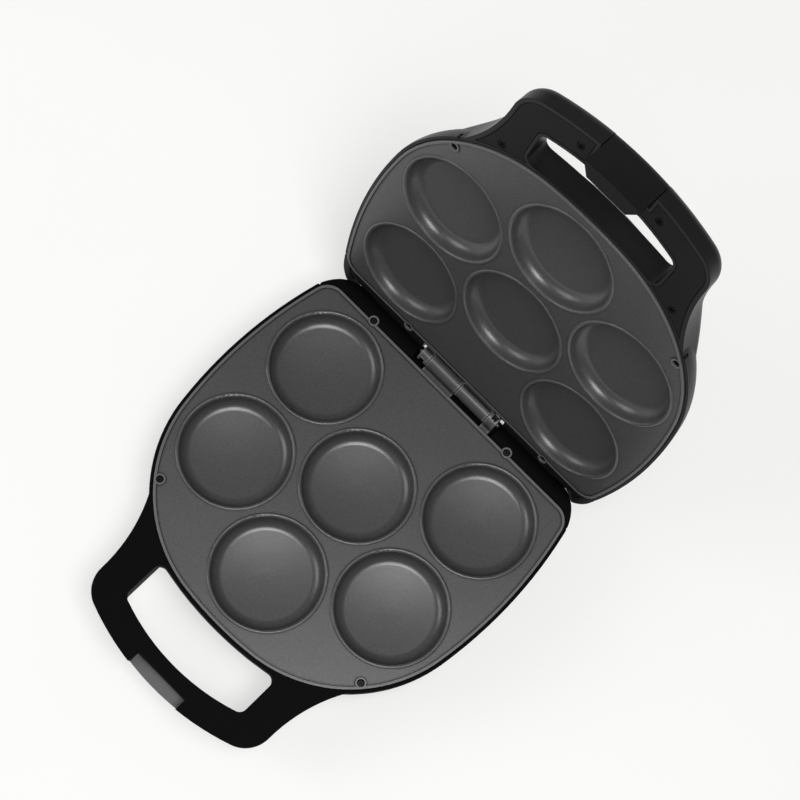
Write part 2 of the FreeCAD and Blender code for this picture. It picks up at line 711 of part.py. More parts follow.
def element_clamps():
    """Flat straps under the tube, screwed to the studs at both sides of it."""
    straps = []
    for x, y, ux, uy in clamp_places():
        half_across = CLAMP_SPREAD + CLAMP_END
        half_along = CLAMP_WIDTH / 2.0
        half_x = half_across * ux + half_along * uy
        half_y = half_across * uy + half_along * ux
        strap = box(x - half_x, x + half_x, y - half_y, y + half_y, CLAMP_UNDER, CLAMP_TOP)
        holes = []
        for side in (-CLAMP_SPREAD, CLAMP_SPREAD):
            holes.append(post(x + side * ux, y + side * uy, CLAMP_UNDER - FIT, CLAMP_TOP + FIT, SCREW_R + FIT))
        straps.append(without(strap, holes))
    return Part.makeCompound(straps)


def clamp_screws():
    head = REFLECTOR_BELOW_CLAMPS / 2.0
    top = CLAMP_UNDER - FIT - head
    under = CLAMP_UNDER - FIT
    end = FLOOR_UNDER - FIT
    screws = []
    for x, y in clamp_studs():
        screws.append(cross_screw(x, y, top, under, SCREW_HEAD_R, head, end))
    return Part.makeCompound(screws)


def reflector_outline(inset):
    back = REFLECTOR_INSET + inset
    return outline(-back, PLATE_REAR_Y - REFLECTOR_REAR_INSET - inset, REFLECTOR_CORNER_R - inset)


def reflector():
    """Shallow sheet-metal tray that keeps the heat under the plate."""
    tray = prism(reflector_outline(0), REFLECTOR_UNDER, REFLECTOR_TOP + REFLECTOR_RIM)
    inside = prism(reflector_outline(REFLECTOR_SHEET), REFLECTOR_TOP, 0)
    holes = [inside]
    for x, y in reflector_posts():
        holes.append(post(x, y, REFLECTOR_UNDER - FIT, REFLECTOR_TOP + FIT, SCREW_R + FIT))
    return without(tray, holes)


def reflector_screws():
    top = REFLECTOR_UNDER - FIT - COVER_SCREW_HEAD
    under = REFLECTOR_UNDER - FIT
    end = REFLECTOR_TOP + SCREW_REACH
    screws = []
    for x, y in reflector_posts():
        screws.append(cross_screw(x, y, top, under, SCREW_HEAD_R, COVER_SCREW_HEAD, end))
    return Part.makeCompound(screws)


# Housing halves; the base is drawn in place and the lid above the parting plane

def deck_cutter(radius, front_y, top):
    """Space above the rear deck, whose rear edge rolls down round the stop."""
    edge_y = DECK_CENTRE_Y
    arc_top = DECK_CENTRE_Z + radius
    far_y = REAR_WALL_Y + DECK_R
    sky = DECK_R
    bend = radius * math.sqrt(0.5)
    x = 2.0 * HALF_WIDTH
    a = V(-x / 2.0, front_y, top)
    b = V(-x / 2.0, edge_y, top)
    c = V(-x / 2.0, edge_y, arc_top)
    mid = V(-x / 2.0, edge_y + bend, DECK_CENTRE_Z + bend)
    d = V(-x / 2.0, edge_y + radius, DECK_CENTRE_Z)
    e = V(-x / 2.0, far_y, DECK_CENTRE_Z)
    f = V(-x / 2.0, far_y, sky)
    g = V(-x / 2.0, front_y, sky)
    edges = [Part.LineSegment(a, b).toShape()]
    if (b - c).Length > FIT:
        edges.append(Part.LineSegment(b, c).toShape())
    edges.append(Part.Arc(c, mid, d).toShape())
    for start, end in ((d, e), (e, f), (f, g), (g, a)):
        edges.append(Part.LineSegment(start, end).toShape())
    return Part.Face(closed(edges)).extrude(V(x, 0, 0))


def deck_start_y():
    return PLATE_REAR_Y - PLATE_REAR_CORNER_R / 2.0


def rim_nicks(z0, z1):
    """Small nicks where the side rim ends at the rear deck and at the handle."""
    nicks = []
    places = []
    rear_y = deck_start_y()
    side_x = HALF_WIDTH - SIDE_R
    rear_x = side_x + math.sqrt((SIDE_R + RIM) ** 2 - (rear_y - WIDEST_Y) ** 2)
    places.append((rear_x, rear_y))
    front_y = FRONT_Y + NICK_BEHIND_FRONT
    front_x = CORNER.x + math.sqrt((CORNER_R + RIM) ** 2 - (front_y - CORNER.y) ** 2)
    places.append((front_x, front_y))
    half = RIM_NICK_LENGTH / 2.0
    for x, y in places:
        for side in (-x, x):
            nicks.append(box(side - RIM_NICK, side + RIM_NICK, y - half, y + half, z0, z1))
    return nicks


def knuckle_notch(grow):
    x = NOTCH_HALF + grow
    far_y = REAR_WALL_Y + DECK_R
    return box(-x, x, POCKET_REAR_Y - grow, far_y, NOTCH_FLOOR - grow, KNUCKLE_R + CUT_PAST)


def screw_boss_cuts(places):
    cuts = []
    for x, y in places:
        cuts.append(post(x, y, PAD_UNDER - FIT, CUT_PAST, PAD_R + PLATE_PLAY))
        cuts.append(post(x, y, PAD_UNDER - SCREW_REACH - FIT, PAD_UNDER, BOSS_HOLE_R))
    return cuts


def lower_cavity(deep_solid):
    """Room under the plate: pocket for the plate, throat inside the ledge and the deep part."""
    pocket = prism(plate_outline(PLATE_PLAY), LEDGE_TOP, CUT_PAST)
    throat = prism(plate_outline(-LEDGE), LEDGE_UNDER - CUT_PAST, LEDGE_TOP + FIT)
    deep = deep_solid.cut(deck_cutter(DECK_R - WALL, POCKET_REAR_Y, DECK_TOP - WALL))
    deep = deep.cut(knuckle_notch(WALL))
    return [pocket, throat, deep]


def tub_block(inset, bottom, top):
    """Tub solid: upright rim band over a drafted wall with a rolled bottom edge."""
    wall = Part.makeLoft([tub_section(inset, bottom), tub_section(inset, TUB_WAIST)], True, True)
    wall = wall.makeFillet(BASE_BOTTOM_R - inset, level_edges(wall, bottom))
    band = Part.Face(tub_section(inset, TUB_WAIST)).extrude(V(0, 0, top - TUB_WAIST))
    return joined([wall, band])


def base_handle(inset, z0, z1):
    """Drafted handle solid of the base, widest at the parting edge."""
    sections = []
    for z in (z0, z1):
        wire = handle_outline(inset + (RIM_TOP - z) * HANDLE_TAN, NECK_TOP_Y)
        wire.translate(V(0, 0, z))
        sections.append(wire)
    return Part.makeLoft(sections, True, True)


def swell_height(y, drop):
    """Top of the lid handle in the side view: level grip, then a swell towards the dome."""
    peak_y = FRONT_Y + LID_SWELL_BEHIND_FRONT
    foot_y = peak_y - math.sqrt(4.0 * LID_SWELL_R * LID_SWELL - LID_SWELL ** 2)
    half_y = (peak_y + foot_y) / 2.0
    level = LID_HANDLE_TOP - drop
    if y <= foot_y:
        return level
    if y <= half_y:
        return level + LID_SWELL_R - math.sqrt(LID_SWELL_R ** 2 - (y - foot_y) ** 2)
    radius = LID_SWELL_R if y <= peak_y else LID_SWELL_FALL_R
    return level + LID_SWELL - radius + math.sqrt(radius ** 2 - (y - peak_y) ** 2)


def lid_handle(inset, drop, under, rounding):
    """Handle solid of the lid under its swelling top, with the outer top edge rounded."""
    peak_y = FRONT_Y + LID_SWELL_BEHIND_FRONT
    foot_y = peak_y - math.sqrt(4.0 * LID_SWELL_R * LID_SWELL - LID_SWELL ** 2)
    half_y = (peak_y + foot_y) / 2.0
    front_y = HANDLE_FRONT_Y - CUT_PAST
    back_y = LID_NECK_TOP_Y + CUT_PAST
    x = -HALF_WIDTH
    corners = [V(x, y, swell_height(y, drop)) for y in (foot_y, half_y, peak_y, back_y)]
    foot_line = [corners[3], V(x, back_y, under), V(x, front_y, under)]
    foot_line += [V(x, front_y, LID_HANDLE_TOP - drop), corners[0]]
    edges = Part.makePolygon(foot_line).Edges
    for start, end in zip(corners, corners[1:]):
        y = (start.y + end.y) / 2.0
        edges.append(Part.Arc(start, V(x, y, swell_height(y, drop)), end).toShape())
    side = Part.Face(closed(edges)).extrude(V(2.0 * HALF_WIDTH, 0, 0))
    block = prism(handle_outline(inset, LID_NECK_TOP_Y), under, DOME_HEIGHT).common(side)
    top_edges = []
    for edge in block.Edges:
        middle = edge.valueAt((edge.FirstParameter + edge.LastParameter) / 2.0)
        on_top = abs(middle.z - swell_height(middle.y, drop)) < FIT
        across = edge.BoundBox.YLength < FIT and edge.BoundBox.ZLength < FIT
        if on_top and not across:
            top_edges.append(edge)
    return block.makeFillet(rounding, top_edges)


def handle_room(room, depth):
    """Hollow of a handle: clear of the housing and of the walls of the finger opening."""
    low = room.BoundBox.ZMin - CUT_PAST
    high = room.BoundBox.ZMax + CUT_PAST
    grow = WALL + COVER_PLAY
    housing = prism(outline(RIM + COVER_PLAY, REAR_WALL_Y, BASE_REAR_CORNER_R), low, high)
    return without(room, [housing, finger_opening(depth, grow, low, high)])


def vents():
    slots = []
    first = MID_WELL_Y - VENT_PITCH * (VENT_ROWS - 1) / 2.0
    for row in range(VENT_ROWS):
        y = first + row * VENT_PITCH
        for x in (-VENT_X, VENT_X):
            half = VENT_LENGTH / 2.0
            slots.append(box(x - half, x + half, y, y + VENT_WIDTH, BASE_BOTTOM - FIT, BASE_FLOOR + FIT))
    return slots


def foot_places():
    rear_y = REAR_WALL_Y - FOOT_REAR_INSET
    side_x = HALF_WIDTH - SIDE_R
    rear_x = side_x + math.sqrt(SIDE_R ** 2 - (rear_y - WIDEST_Y) ** 2) - FOOT_INSET - FOOT_R
    reach = CORNER_R - FOOT_INSET - FOOT_R
    angle = math.radians(FRONT_SCREW_ANGLE)
    front_x = CORNER.x + reach * math.cos(angle)
    front_y = CORNER.y + reach * math.sin(angle)
    return {
        "foot_front_left": (-front_x, front_y),
        "foot_front_right": (front_x, front_y),
        "foot_rear_left": (-rear_x, rear_y),
        "foot_rear_right": (rear_x, rear_y),
    }


def strike_window(play, z0):
    """Front notch of the base handle that the latch drops into."""
    x = LATCH_HALF_WIDTH + play
    return box(-x, x, HANDLE_FRONT_Y - CUT_PAST, STRIKE_Y, z0, CUT_PAST)


def base_shell():
    bottom = -BASE_HANDLE_BOTTOM
    skin_under = RIM_TOP - HANDLE_SKIN
    depth = BASE_FINGER_DEPTH
    handle = base_handle(0, bottom, RIM_TOP)
    under_edges = [e for e in level_edges(handle, bottom) if e.BoundBox.YMin < NECK_TOP_Y - FIT]
    handle = handle.makeFillet(BASE_HANDLE_ROUND, under_edges)
    handle = handle.cut(finger_opening(depth, 0, TUB_WAIST, CUT_PAST))
    handle = handle.cut(finger_opening(depth, 0, bottom - CUT_PAST, TUB_WAIST, TUB_TAPER))
    shell = joined([tub_block(0, BASE_BOTTOM, RIM_TOP), handle])
    cutters = lower_cavity(tub_block(WALL, BASE_FLOOR, LEDGE_UNDER))
    cutters.append(deck_cutter(DECK_R, deck_start_y(), DECK_TOP))
    cutters.append(knuckle_notch(0))
    cutters.append(handle_room(base_handle(WALL, BASE_COVER_TOP + FIT, skin_under), depth))
    cover_room = prism(handle_outline(BASE_COVER_INSET, NECK_TOP_Y), bottom - CUT_PAST, skin_under)
    cutters.append(handle_room(cover_room, depth))
    cutters += rim_nicks(RIM_TOP - RIM_NICK_DEPTH, CUT_PAST)
    cutters += vents()
    shell = shell.cut(cutters)

    additions = [shell]
    solid_tub = tub_block(WALL / 2.0, BASE_FLOOR - WALL / 2.0, RIM_TOP)
    for x, y in plate_screw_places():
        boss = post(x, y, PAD_UNDER - 2.0 * SCREW_REACH, PAD_UNDER - FIT, BOSS_R)
        additions.append(boss.common(solid_tub))
    for x, y in COVER_SCREWS:
        additions.append(post(x, y, BASE_COVER_TOP + FIT, skin_under + FIT, BOSS_R))
    cheek = LATCH_HALF_WIDTH + LATCH_PLAY
    back_y = STRIKE_Y + STRIKE_RECESS
    strike_under = BASE_COVER_TOP + FIT
    outer = base_handle(WALL / 2.0, bottom, RIM_TOP)
    for side in (-1.0, 1.0):
        x0 = min(side * cheek, side * (cheek + WALL))
        wall = box(x0, x0 + WALL, HANDLE_FRONT_Y, back_y, strike_under, skin_under + FIT)
        additions.append(wall.common(outer))
    rib_x = cheek + WALL
    rib = box(-rib_x, rib_x, STRIKE_Y, STRIKE_Y + STRIKE_RIB, -STRIKE_RIB_DEPTH, skin_under + FIT)
    additions.append(rib)
    shell = joined(additions)

    holes = screw_boss_cuts(plate_screw_places())
    holes.append(strike_window(LATCH_PLAY, strike_under))
    for x, y in COVER_SCREWS:
        holes.append(post(x, y, BASE_COVER_TOP, BASE_COVER_TOP + COVER_SCREW_REACH, BOSS_HOLE_R))
    for x, y in foot_places().values():
        holes.append(post(x, y, BASE_BOTTOM - FIT, BASE_FLOOR + FIT, FOOT_PLUG_R + FIT))
    inner_y = REAR_WALL_Y - WALL - CUT_PAST
    gland = Part.makeCylinder(GLAND_NECK_R + FIT, WALL + 2.0 * CUT_PAST, V(GLAND_X, inner_y, -GLAND_DEPTH), V(0, 1, 0))
    holes.append(gland)
    return shell.cut(holes).removeSplitter()


def base_handle_cover():
    inset = BASE_COVER_INSET + COVER_PLAY
    under = COVER_PLAY - BASE_HANDLE_BOTTOM
    cover = handle_room(prism(handle_outline(inset, NECK_TOP_Y), under, BASE_COVER_TOP), BASE_FINGER_DEPTH)
    cover = cover.cut(finger_opening(BASE_FINGER_DEPTH, WALL + 2.0 * COVER_PLAY, under - CUT_PAST, CUT_PAST))
    return without(cover, cover_screw_holes(under, BASE_COVER_TOP))


def cover_screw_holes(outside, inside):
    """Clearance holes with a counterbore on the outside face."""
    way = math.copysign(1.0, inside - outside)
    holes = []
    for x, y in COVER_SCREWS:
        holes.append(post(x, y, min(outside, inside) - FIT, max(outside, inside) + FIT, SCREW_R + FIT))
        sink = outside + way * (COVER_SCREW_HEAD + FIT)
        low = min(outside - way * FIT, sink)
        high = max(outside - way * FIT, sink)
        holes.append(post(x, y, low, high, COVER_SCREW_HEAD_R + FIT))
    return holes


def cover_screws(outside, way):
    top = outside
    under = outside + way * COVER_SCREW_HEAD
    end = under + way * COVER_SCREW_REACH
    screws = []
    for x, y in COVER_SCREWS:
        screws.append(cross_screw(x, y, top, under, COVER_SCREW_HEAD_R, COVER_SCREW_HEAD, end))
    return Part.makeCompound(screws)


def latch_strike():
    """Grey insert that forms the floor of the latch notch, with an upright behind the hook."""
    x = LATCH_HALF_WIDTH + LATCH_PLAY - FIT
    under = BASE_COVER_TOP + 2.0 * FIT
    top = -STRIKE_FLOOR_DEPTH
    back_y = STRIKE_Y + STRIKE_RECESS
    floor = box(-x, x, HANDLE_FRONT_Y - CUT_PAST, back_y, under, top)
    upright = box(-x, x, back_y - WALL, back_y, under, RIM_TOP - HANDLE_SKIN - FIT)
    return joined([floor, upright]).common(base_handle(0, under - CUT_PAST, RIM_TOP))


def dome(inset, crown, edge_r):
    """Pillow-shaped lid body: the housing outline under a large crown, with a rolled edge."""
    column = prism(lid_outline(inset), RIM_HALF_GAP, DOME_HEIGHT + CUT_PAST)
    wide = outline(RIM - inset, REAR_WALL_Y - inset + ROLL_PAST_REAR, ROLL_CORNER_R - inset)
    sag = DOME_HEIGHT - crown
    centre = V(0, CROWN_Y, DOME_HEIGHT - CROWN_END_R)
    barrel = Part.makeTorus(CROWN_END_R - CROWN_SIDE_R, CROWN_SIDE_R - sag, centre, V(1, 0, 0))
    body = prism(wide, RIM_HALF_GAP, DOME_HEIGHT + CUT_PAST).common(barrel)
    crown_edges = []
    for face in body.Faces:
        if face.Surface.TypeId == "Part::GeomToroid":
            crown_edges += face.Edges
    return body.makeFillet(edge_r, crown_edges).common(column).removeSplitter()


def lamp_places():
    y = BODY_FRONT_Y + LAMP_BEHIND_FRONT
    return {"power_lamp_lens": (-LAMP_X, y), "ready_lamp_lens": (LAMP_X, y)}


def crown_height(x, y, drop):
    """Height of the dome's top surface, lowered by drop."""
    reach = CROWN_END_R - CROWN_SIDE_R + math.sqrt((CROWN_SIDE_R - drop) ** 2 - x ** 2)
    return DOME_HEIGHT - CROWN_END_R + math.sqrt(reach ** 2 - (y - CROWN_Y) ** 2)


def rear_cheeks():
    """Rim of the lid's rear corners, cut back where the base stands when the lid is open."""
    centre_y = REAR_WALL_Y - BASE_REAR_CORNER_R
    reach = SIDE_R + RIM - BASE_REAR_CORNER_R
    centre_x = HALF_WIDTH - SIDE_R + math.sqrt(reach ** 2 - (centre_y - WIDEST_Y) ** 2)
    low = DECK_CENTRE_Z - DECK_R
    ring = prism(lid_outline(0), low, CUT_PAST).cut(prism(lid_outline(CHEEK_WALL), low - FIT, 2.0 * CUT_PAST))
    middle = box(-centre_x, centre_x, 2.0 * BODY_FRONT_Y, 2.0 * DECK_R, low - FIT, 2.0 * CUT_PAST)
    grown_r = BASE_REAR_CORNER_R + STOP_GAP
    base_plan = prism(outline(RIM + STOP_GAP, REAR_WALL_Y + STOP_GAP, grown_r), 0, HALF_WIDTH)
    base_plan.rotate(V(0, 0, 0), V(1, 0, 0), -OPEN_ANGLE)
    return ring.cut(middle).cut(base_plan)


def lid_shell():
    top = LID_HANDLE_TOP
    depth = LID_FINGER_DEPTH
    handle = lid_handle(0, 0, RIM_HALF_GAP, LID_HANDLE_ROUND)
    handle = handle.cut(finger_opening(depth, 0, -CUT_PAST, DOME_HEIGHT))
    shell = joined([dome(0, DOME_HEIGHT, DOME_EDGE_R), handle])
    deep = dome(WALL, DOME_HEIGHT - WALL, DOME_EDGE_R - WALL)
    deep = deep.cut(box(-HALF_WIDTH * 2.0, HALF_WIDTH * 2.0, HANDLE_FRONT_Y, DECK_R * 2.0, -CUT_PAST, -LEDGE_UNDER))
    cutters = [mirrored(s) for s in lower_cavity(mirrored(deep))]
    cutters.append(mirrored(deck_cutter(DECK_R, deck_start_y(), DECK_TOP).cut(rear_cheeks())))
    cutters.append(mirrored(knuckle_notch(0)))
    room_top = top - HANDLE_SKIN
    cheek = LATCH_HALF_WIDTH + LATCH_PLAY
    cheek_out = cheek + LATCH_CHEEK
    pocket_wall_y = POCKET_BACK_Y + LATCH_CHEEK
    pocket_block = box(-cheek_out, cheek_out, HANDLE_FRONT_Y - CUT_PAST, pocket_wall_y, -CUT_PAST, top)
    upper = handle_room(lid_handle(WALL, HANDLE_SKIN, LID_COVER_TOP + FIT, LID_HANDLE_ROUND - WALL), depth)
    cutters.append(upper.cut(pocket_block))
    cover_room = prism(handle_outline(LID_COVER_INSET, NECK_TOP_Y), -CUT_PAST, room_top - LID_HANDLE_ROUND)
    lower = handle_room(cover_room, depth)
    cutters.append(lower.cut(pocket_block))
    cutters += [mirrored(s) for s in rim_nicks(RIM_TOP - RIM_NICK_DEPTH, CUT_PAST)]
    cutters.append(box(-cheek, cheek, HANDLE_FRONT_Y - CUT_PAST, POCKET_BACK_Y, -CUT_PAST, top + CUT_PAST))
    for x, y in lamp_places().values():
        cutters.append(post(x, y, LID_COVER_TOP, DOME_HEIGHT + CUT_PAST, LAMP_R + FIT))
    shell = shell.cut(cutters)

    additions = [shell]
    for x, y in plate_screw_places():
        foot = -PAD_UNDER + FIT
        boss = post(-x, y, foot, -PAD_UNDER + 2.0 * SCREW_REACH, BOSS_R)
        additions.append(boss.common(dome(WALL / 2.0, DOME_HEIGHT - WALL / 2.0, DOME_EDGE_R - WALL)))
    for x, y in COVER_SCREWS:
        additions.append(post(x, y, LID_COVER_TOP + FIT, swell_height(y, HANDLE_SKIN / 2.0), BOSS_R))
    for x, y in lamp_posts():
        top_z = crown_height(x, y, WALL / 2.0)
        additions.append(post(x, y, lamp_board_top() + FIT, top_z, LAMP_POST_R))
    shell = joined(additions)

    holes = []
    for cut in screw_boss_cuts(plate_screw_places()):
        holes.append(flipped(cut))
    for x, y in COVER_SCREWS:
        holes.append(post(x, y, LID_COVER_TOP, LID_COVER_TOP + COVER_SCREW_REACH, BOSS_HOLE_R))
    holes.append(rod(-cheek_out - FIT, cheek_out + FIT, LATCH_PIVOT_Y, LATCH_PIVOT_Z, LATCH_PIN_R + PIN_PLAY))
    return shell.cut(holes).removeSplitter()


def lid_handle_cover():
    inset = LID_COVER_INSET + COVER_PLAY
    plan = handle_outline(inset, NECK_TOP_Y)
    cover = handle_room(prism(plan, LID_COVER_UNDER, LID_COVER_TOP), LID_FINGER_DEPTH)
    low = LID_COVER_UNDER - CUT_PAST
    high = LID_COVER_TOP + CUT_PAST
    cheek = LATCH_HALF_WIDTH + LATCH_PLAY + LATCH_CHEEK + COVER_PLAY
    back_y = POCKET_BACK_Y + LATCH_CHEEK + COVER_PLAY
    cuts = [finger_opening(LID_FINGER_DEPTH, WALL + 2.0 * COVER_PLAY, low, high)]
    cuts.append(box(-cheek, cheek, HANDLE_FRONT_Y - CUT_PAST, back_y, low, high))
    cuts += cover_screw_holes(LID_COVER_UNDER, LID_COVER_TOP)
    return without(cover, cuts)


# Indicator lamps under the dome's front

def lamp_seat():
    """Lowest point of the dome's inner skin over the lens flanges."""
    y = BODY_FRONT_Y + LAMP_BEHIND_FRONT - LAMP_FLANGE_R
    return crown_height(LAMP_X + LAMP_FLANGE_R, y, WALL) - FIT


def lamp_board_top():
    return lamp_seat() - LAMP_FLANGE - FIT


def lamp_posts():
    y = BODY_FRONT_Y + LAMP_BEHIND_FRONT
    x = LAMP_X + LAMP_FLANGE_R + LAMP_POST_R
    return [(-x, y), (x, y)]


def lamp_lens(x, y):
    """Clear button with a flange that seats under the dome's skin."""
    seat = lamp_seat()
    top = crown_height(x, y, 0) + LAMP_PROUD
    stem = post(x, y, seat - LAMP_FLANGE / 2.0, top, LAMP_R)
    stem = stem.makeFillet(LAMP_EDGE_R, level_edges(stem, top))
    flange = post(x, y, seat - LAMP_FLANGE, seat, LAMP_FLANGE_R)
    return joined([stem, flange])


def lamp_holder():
    """Small board housing that backs both lenses and hangs on the two posts."""
    y = BODY_FRONT_Y + LAMP_BEHIND_FRONT
    x = LAMP_X + LAMP_FLANGE_R + 2.0 * LAMP_POST_R
    top = lamp_board_top()
    return box(-x, x, y - LAMP_BODY_HALF, y + LAMP_BODY_HALF, top - LAMP_BODY_HEIGHT, top)


# Latch

def latch_clip():
    """Curved clip flush with the handle front: block at the pivot, wall below it, hook inside."""
    x = LATCH_HALF_WIDTH
    front = HANDLE_FRONT_Y - CUT_PAST
    block = lid_handle(LATCH_SETBACK, 0, RIM_HALF_GAP, LID_HANDLE_ROUND)
    block = block.common(box(-x, x, front, HANDLE_FRONT_Y + LATCH_BLOCK, 0, LID_HANDLE_TOP + CUT_PAST))
    strip = prism(handle_outline(LATCH_SETBACK, NECK_TOP_Y), -LATCH_DROP, RIM_HALF_GAP + LATCH_WALL)
    inside = handle_outline(LATCH_WALL, NECK_TOP_Y)
    strip = strip.cut(prism(inside, -LATCH_DROP - CUT_PAST, RIM_HALF_GAP + 2.0 * CUT_PAST))
    strip = strip.common(box(-x, x, front, HANDLE_FRONT_Y + LATCH_BLOCK, -LATCH_DROP, LID_HANDLE_TOP))
    root_y = HANDLE_FRONT_Y + LATCH_WALL - FIT
    tip_y = HANDLE_FRONT_Y + LATCH_WALL + HOOK_REACH
    lip = Part.makePolygon([
        V(-x, root_y, 0),
        V(x, root_y, 0),
        V(x - HOOK_TAPER, tip_y, 0),
        V(HOOK_TAPER - x, tip_y, 0),
        V(-x, root_y, 0),
    ])
    hook = prism(lip, -LATCH_DROP, HOOK_HEIGHT - LATCH_DROP)
    clip = joined([block, strip, hook])
    bore = rod(-x - FIT, x + FIT, LATCH_PIVOT_Y, LATCH_PIVOT_Z, LATCH_PIN_R + PIN_PLAY)
    return clip.cut(bore)


def latch_pin():
    reach = LATCH_HALF_WIDTH + LATCH_PLAY + LATCH_CHEEK
    return rod(-reach, reach, LATCH_PIVOT_Y, LATCH_PIVOT_Z, LATCH_PIN_R)


def latch_spring():
    """Bent steel strip between the pocket's back wall and the clip above its pivot."""
    wall_y = POCKET_BACK_Y - FIT
    clip_y = HANDLE_FRONT_Y + LATCH_BLOCK + FIT
    low = LID_COVER_TOP + FIT
    bend = low + SPRING_FOOT
    top = low + SPRING_RISE
    return side_profile([
        (wall_y, low),
        (wall_y, bend),
        (clip_y + SPRING_STRIP, top),
        (clip_y, top),
        (wall_y - SPRING_STRIP, bend),
        (wall_y - SPRING_STRIP, low),
    ], -SPRING_HALF_WIDTH, SPRING_HALF_WIDTH)


# Hinge pin and its rings

def hinge_pin():
    pin = rod(-PIN_HALF, PIN_HALF, 0, 0, PIN_R)
    ends = [e for e in pin.Edges if e.BoundBox.XLength < FIT]
    return pin.makeChamfer(PIN_CHAMFER, ends)


def pin_clips():
    rings = []
    middle = SHORT_START + WINDOW_START + WINDOW_LENGTH / 2.0
    for x in (-middle, middle):
        half = CLIP_WIDTH / 2.0
        ring = rod(x - half, x + half, 0, 0, CLIP_R)
        ring = ring.cut(rod(x - CLIP_WIDTH, x + CLIP_WIDTH, 0, 0, PIN_R + CLIP_PLAY))
        rings.append(ring)
    return Part.makeCompound(rings)


# Electrical pieces of the base

def thermostat():
    top = PLATE_UNDER - FIT
    body = post(0, THERMOSTAT_Y, top - THERMOSTAT_HEIGHT, top, THERMOSTAT_R)
    tabs = []
    half_sheet = THERMOSTAT_TAB_SHEET / 2.0
    half_width = THERMOSTAT_TAB_WIDTH / 2.0
    for x in (-THERMOSTAT_R / 2.0, THERMOSTAT_R / 2.0):
        low = top - THERMOSTAT_HEIGHT - THERMOSTAT_TAB
        tabs.append(box(x - half_sheet, x + half_sheet, THERMOSTAT_Y - half_width,
                        THERMOSTAT_Y + half_width, low, top - THERMOSTAT_HEIGHT / 2.0))
    return joined([body] + tabs)


def thermal_fuse():
    z = PLATE_UNDER - FIT - FUSE_R
    half = FUSE_LENGTH / 2.0
    body = rod(FUSE_X - half / 2.0, FUSE_X + half / 2.0, FUSE_Y, z, FUSE_R)
    leads = rod(FUSE_X - half, FUSE_X + half, FUSE_Y, z, FUSE_LEAD_R)
    return joined([body, leads])


def fuse_clip():
    """Steel saddle that holds the fuse against the plate."""
    half = FUSE_CLIP_WIDTH / 2.0
    top = PLATE_UNDER - FIT
    inner = FUSE_R + FIT
    outer = inner + FUSE_CLIP_SHEET
    foot = outer + FUSE_CLIP_FOOT
    bridge_top = top - 2.0 * FUSE_R - FIT
    return side_profile([
        (FUSE_Y - foot, top),
        (FUSE_Y - inner, top),
        (FUSE_Y - inner, bridge_top),
        (FUSE_Y + inner, bridge_top),
        (FUSE_Y + inner, top),
        (FUSE_Y + foot, top),
        (FUSE_Y + foot, top - FUSE_CLIP_SHEET),
        (FUSE_Y + outer, top - FUSE_CLIP_SHEET),
        (FUSE_Y + outer, bridge_top - FUSE_CLIP_SHEET),
        (FUSE_Y - outer, bridge_top - FUSE_CLIP_SHEET),
        (FUSE_Y - outer, top - FUSE_CLIP_SHEET),
        (FUSE_Y - foot, top - FUSE_CLIP_SHEET),
    ], FUSE_X - half / 2.0, FUSE_X + half / 2.0)


def terminal_block():
    rear_y = REAR_WALL_Y - WALL - GLAND_FLANGE - BLOCK_DEPTH / 2.0
    low = BASE_FLOOR + FIT
    half = BLOCK_LENGTH / 2.0
    block = box(BLOCK_X - half, BLOCK_X + half, rear_y - BLOCK_DEPTH, rear_y, low, low + BLOCK_HEIGHT)
    pitch = BLOCK_LENGTH / BLOCK_WAYS
    holes = []
    for way in range(BLOCK_WAYS):
        x = BLOCK_X + (way - (BLOCK_WAYS - 1) / 2.0) * pitch
        start = V(x, rear_y - BLOCK_DEPTH - FIT, low + BLOCK_HEIGHT / 2.0)
        holes.append(Part.makeCylinder(BLOCK_WIRE_R, BLOCK_DEPTH + 2.0 * FIT, start, V(0, 1, 0)))
    return without(block, holes)


def cord_gland():
    """Rubber grommet snapped into the rear wall, with the bore that the mains lead would use."""
    outside = REAR_WALL_Y + FIT
    inside = REAR_WALL_Y - WALL - FIT
    z = -GLAND_DEPTH
    back = V(0, 1, 0)
    ring = [Part.makeCylinder(GLAND_FLANGE_R, GLAND_FLANGE, V(GLAND_X, outside, z), back)]
    ring.append(Part.makeCylinder(GLAND_FLANGE_R, GLAND_FLANGE, V(GLAND_X, inside - GLAND_FLANGE, z), back))
    ring.append(Part.makeCylinder(GLAND_NECK_R, WALL + 2.0 * GLAND_FLANGE, V(GLAND_X, inside - GLAND_FLANGE, z), back))
    length = WALL + 4.0 * GLAND_FLANGE
    bore = Part.makeCylinder(GLAND_BORE_R, length, V(GLAND_X, inside - GLAND_FLANGE - FIT, z), back)
    return joined(ring).cut(bore)


def foot(x, y):
    """Turned rubber foot with a plug that snaps through the floor."""
    head_z = BASE_FLOOR + FIT
    return turned([
        (0, BASE_BOTTOM - FOOT_HEIGHT),
        (FOOT_R - FOOT_CHAMFER, BASE_BOTTOM - FOOT_HEIGHT),
        (FOOT_R, BASE_BOTTOM - FOOT_HEIGHT + FOOT_CHAMFER),
        (FOOT_R, BASE_BOTTOM - FIT),
        (FOOT_PLUG_R, BASE_BOTTOM - FIT),
        (FOOT_PLUG_R, head_z),
        (FOOT_HEAD_R, head_z),
        (FOOT_PLUG_R, head_z + FOOT_HEAD),
        (0, head_z + FOOT_HEAD),
    ], x, y)


# Assembly: base in place, lid and latch turned open about the hinge

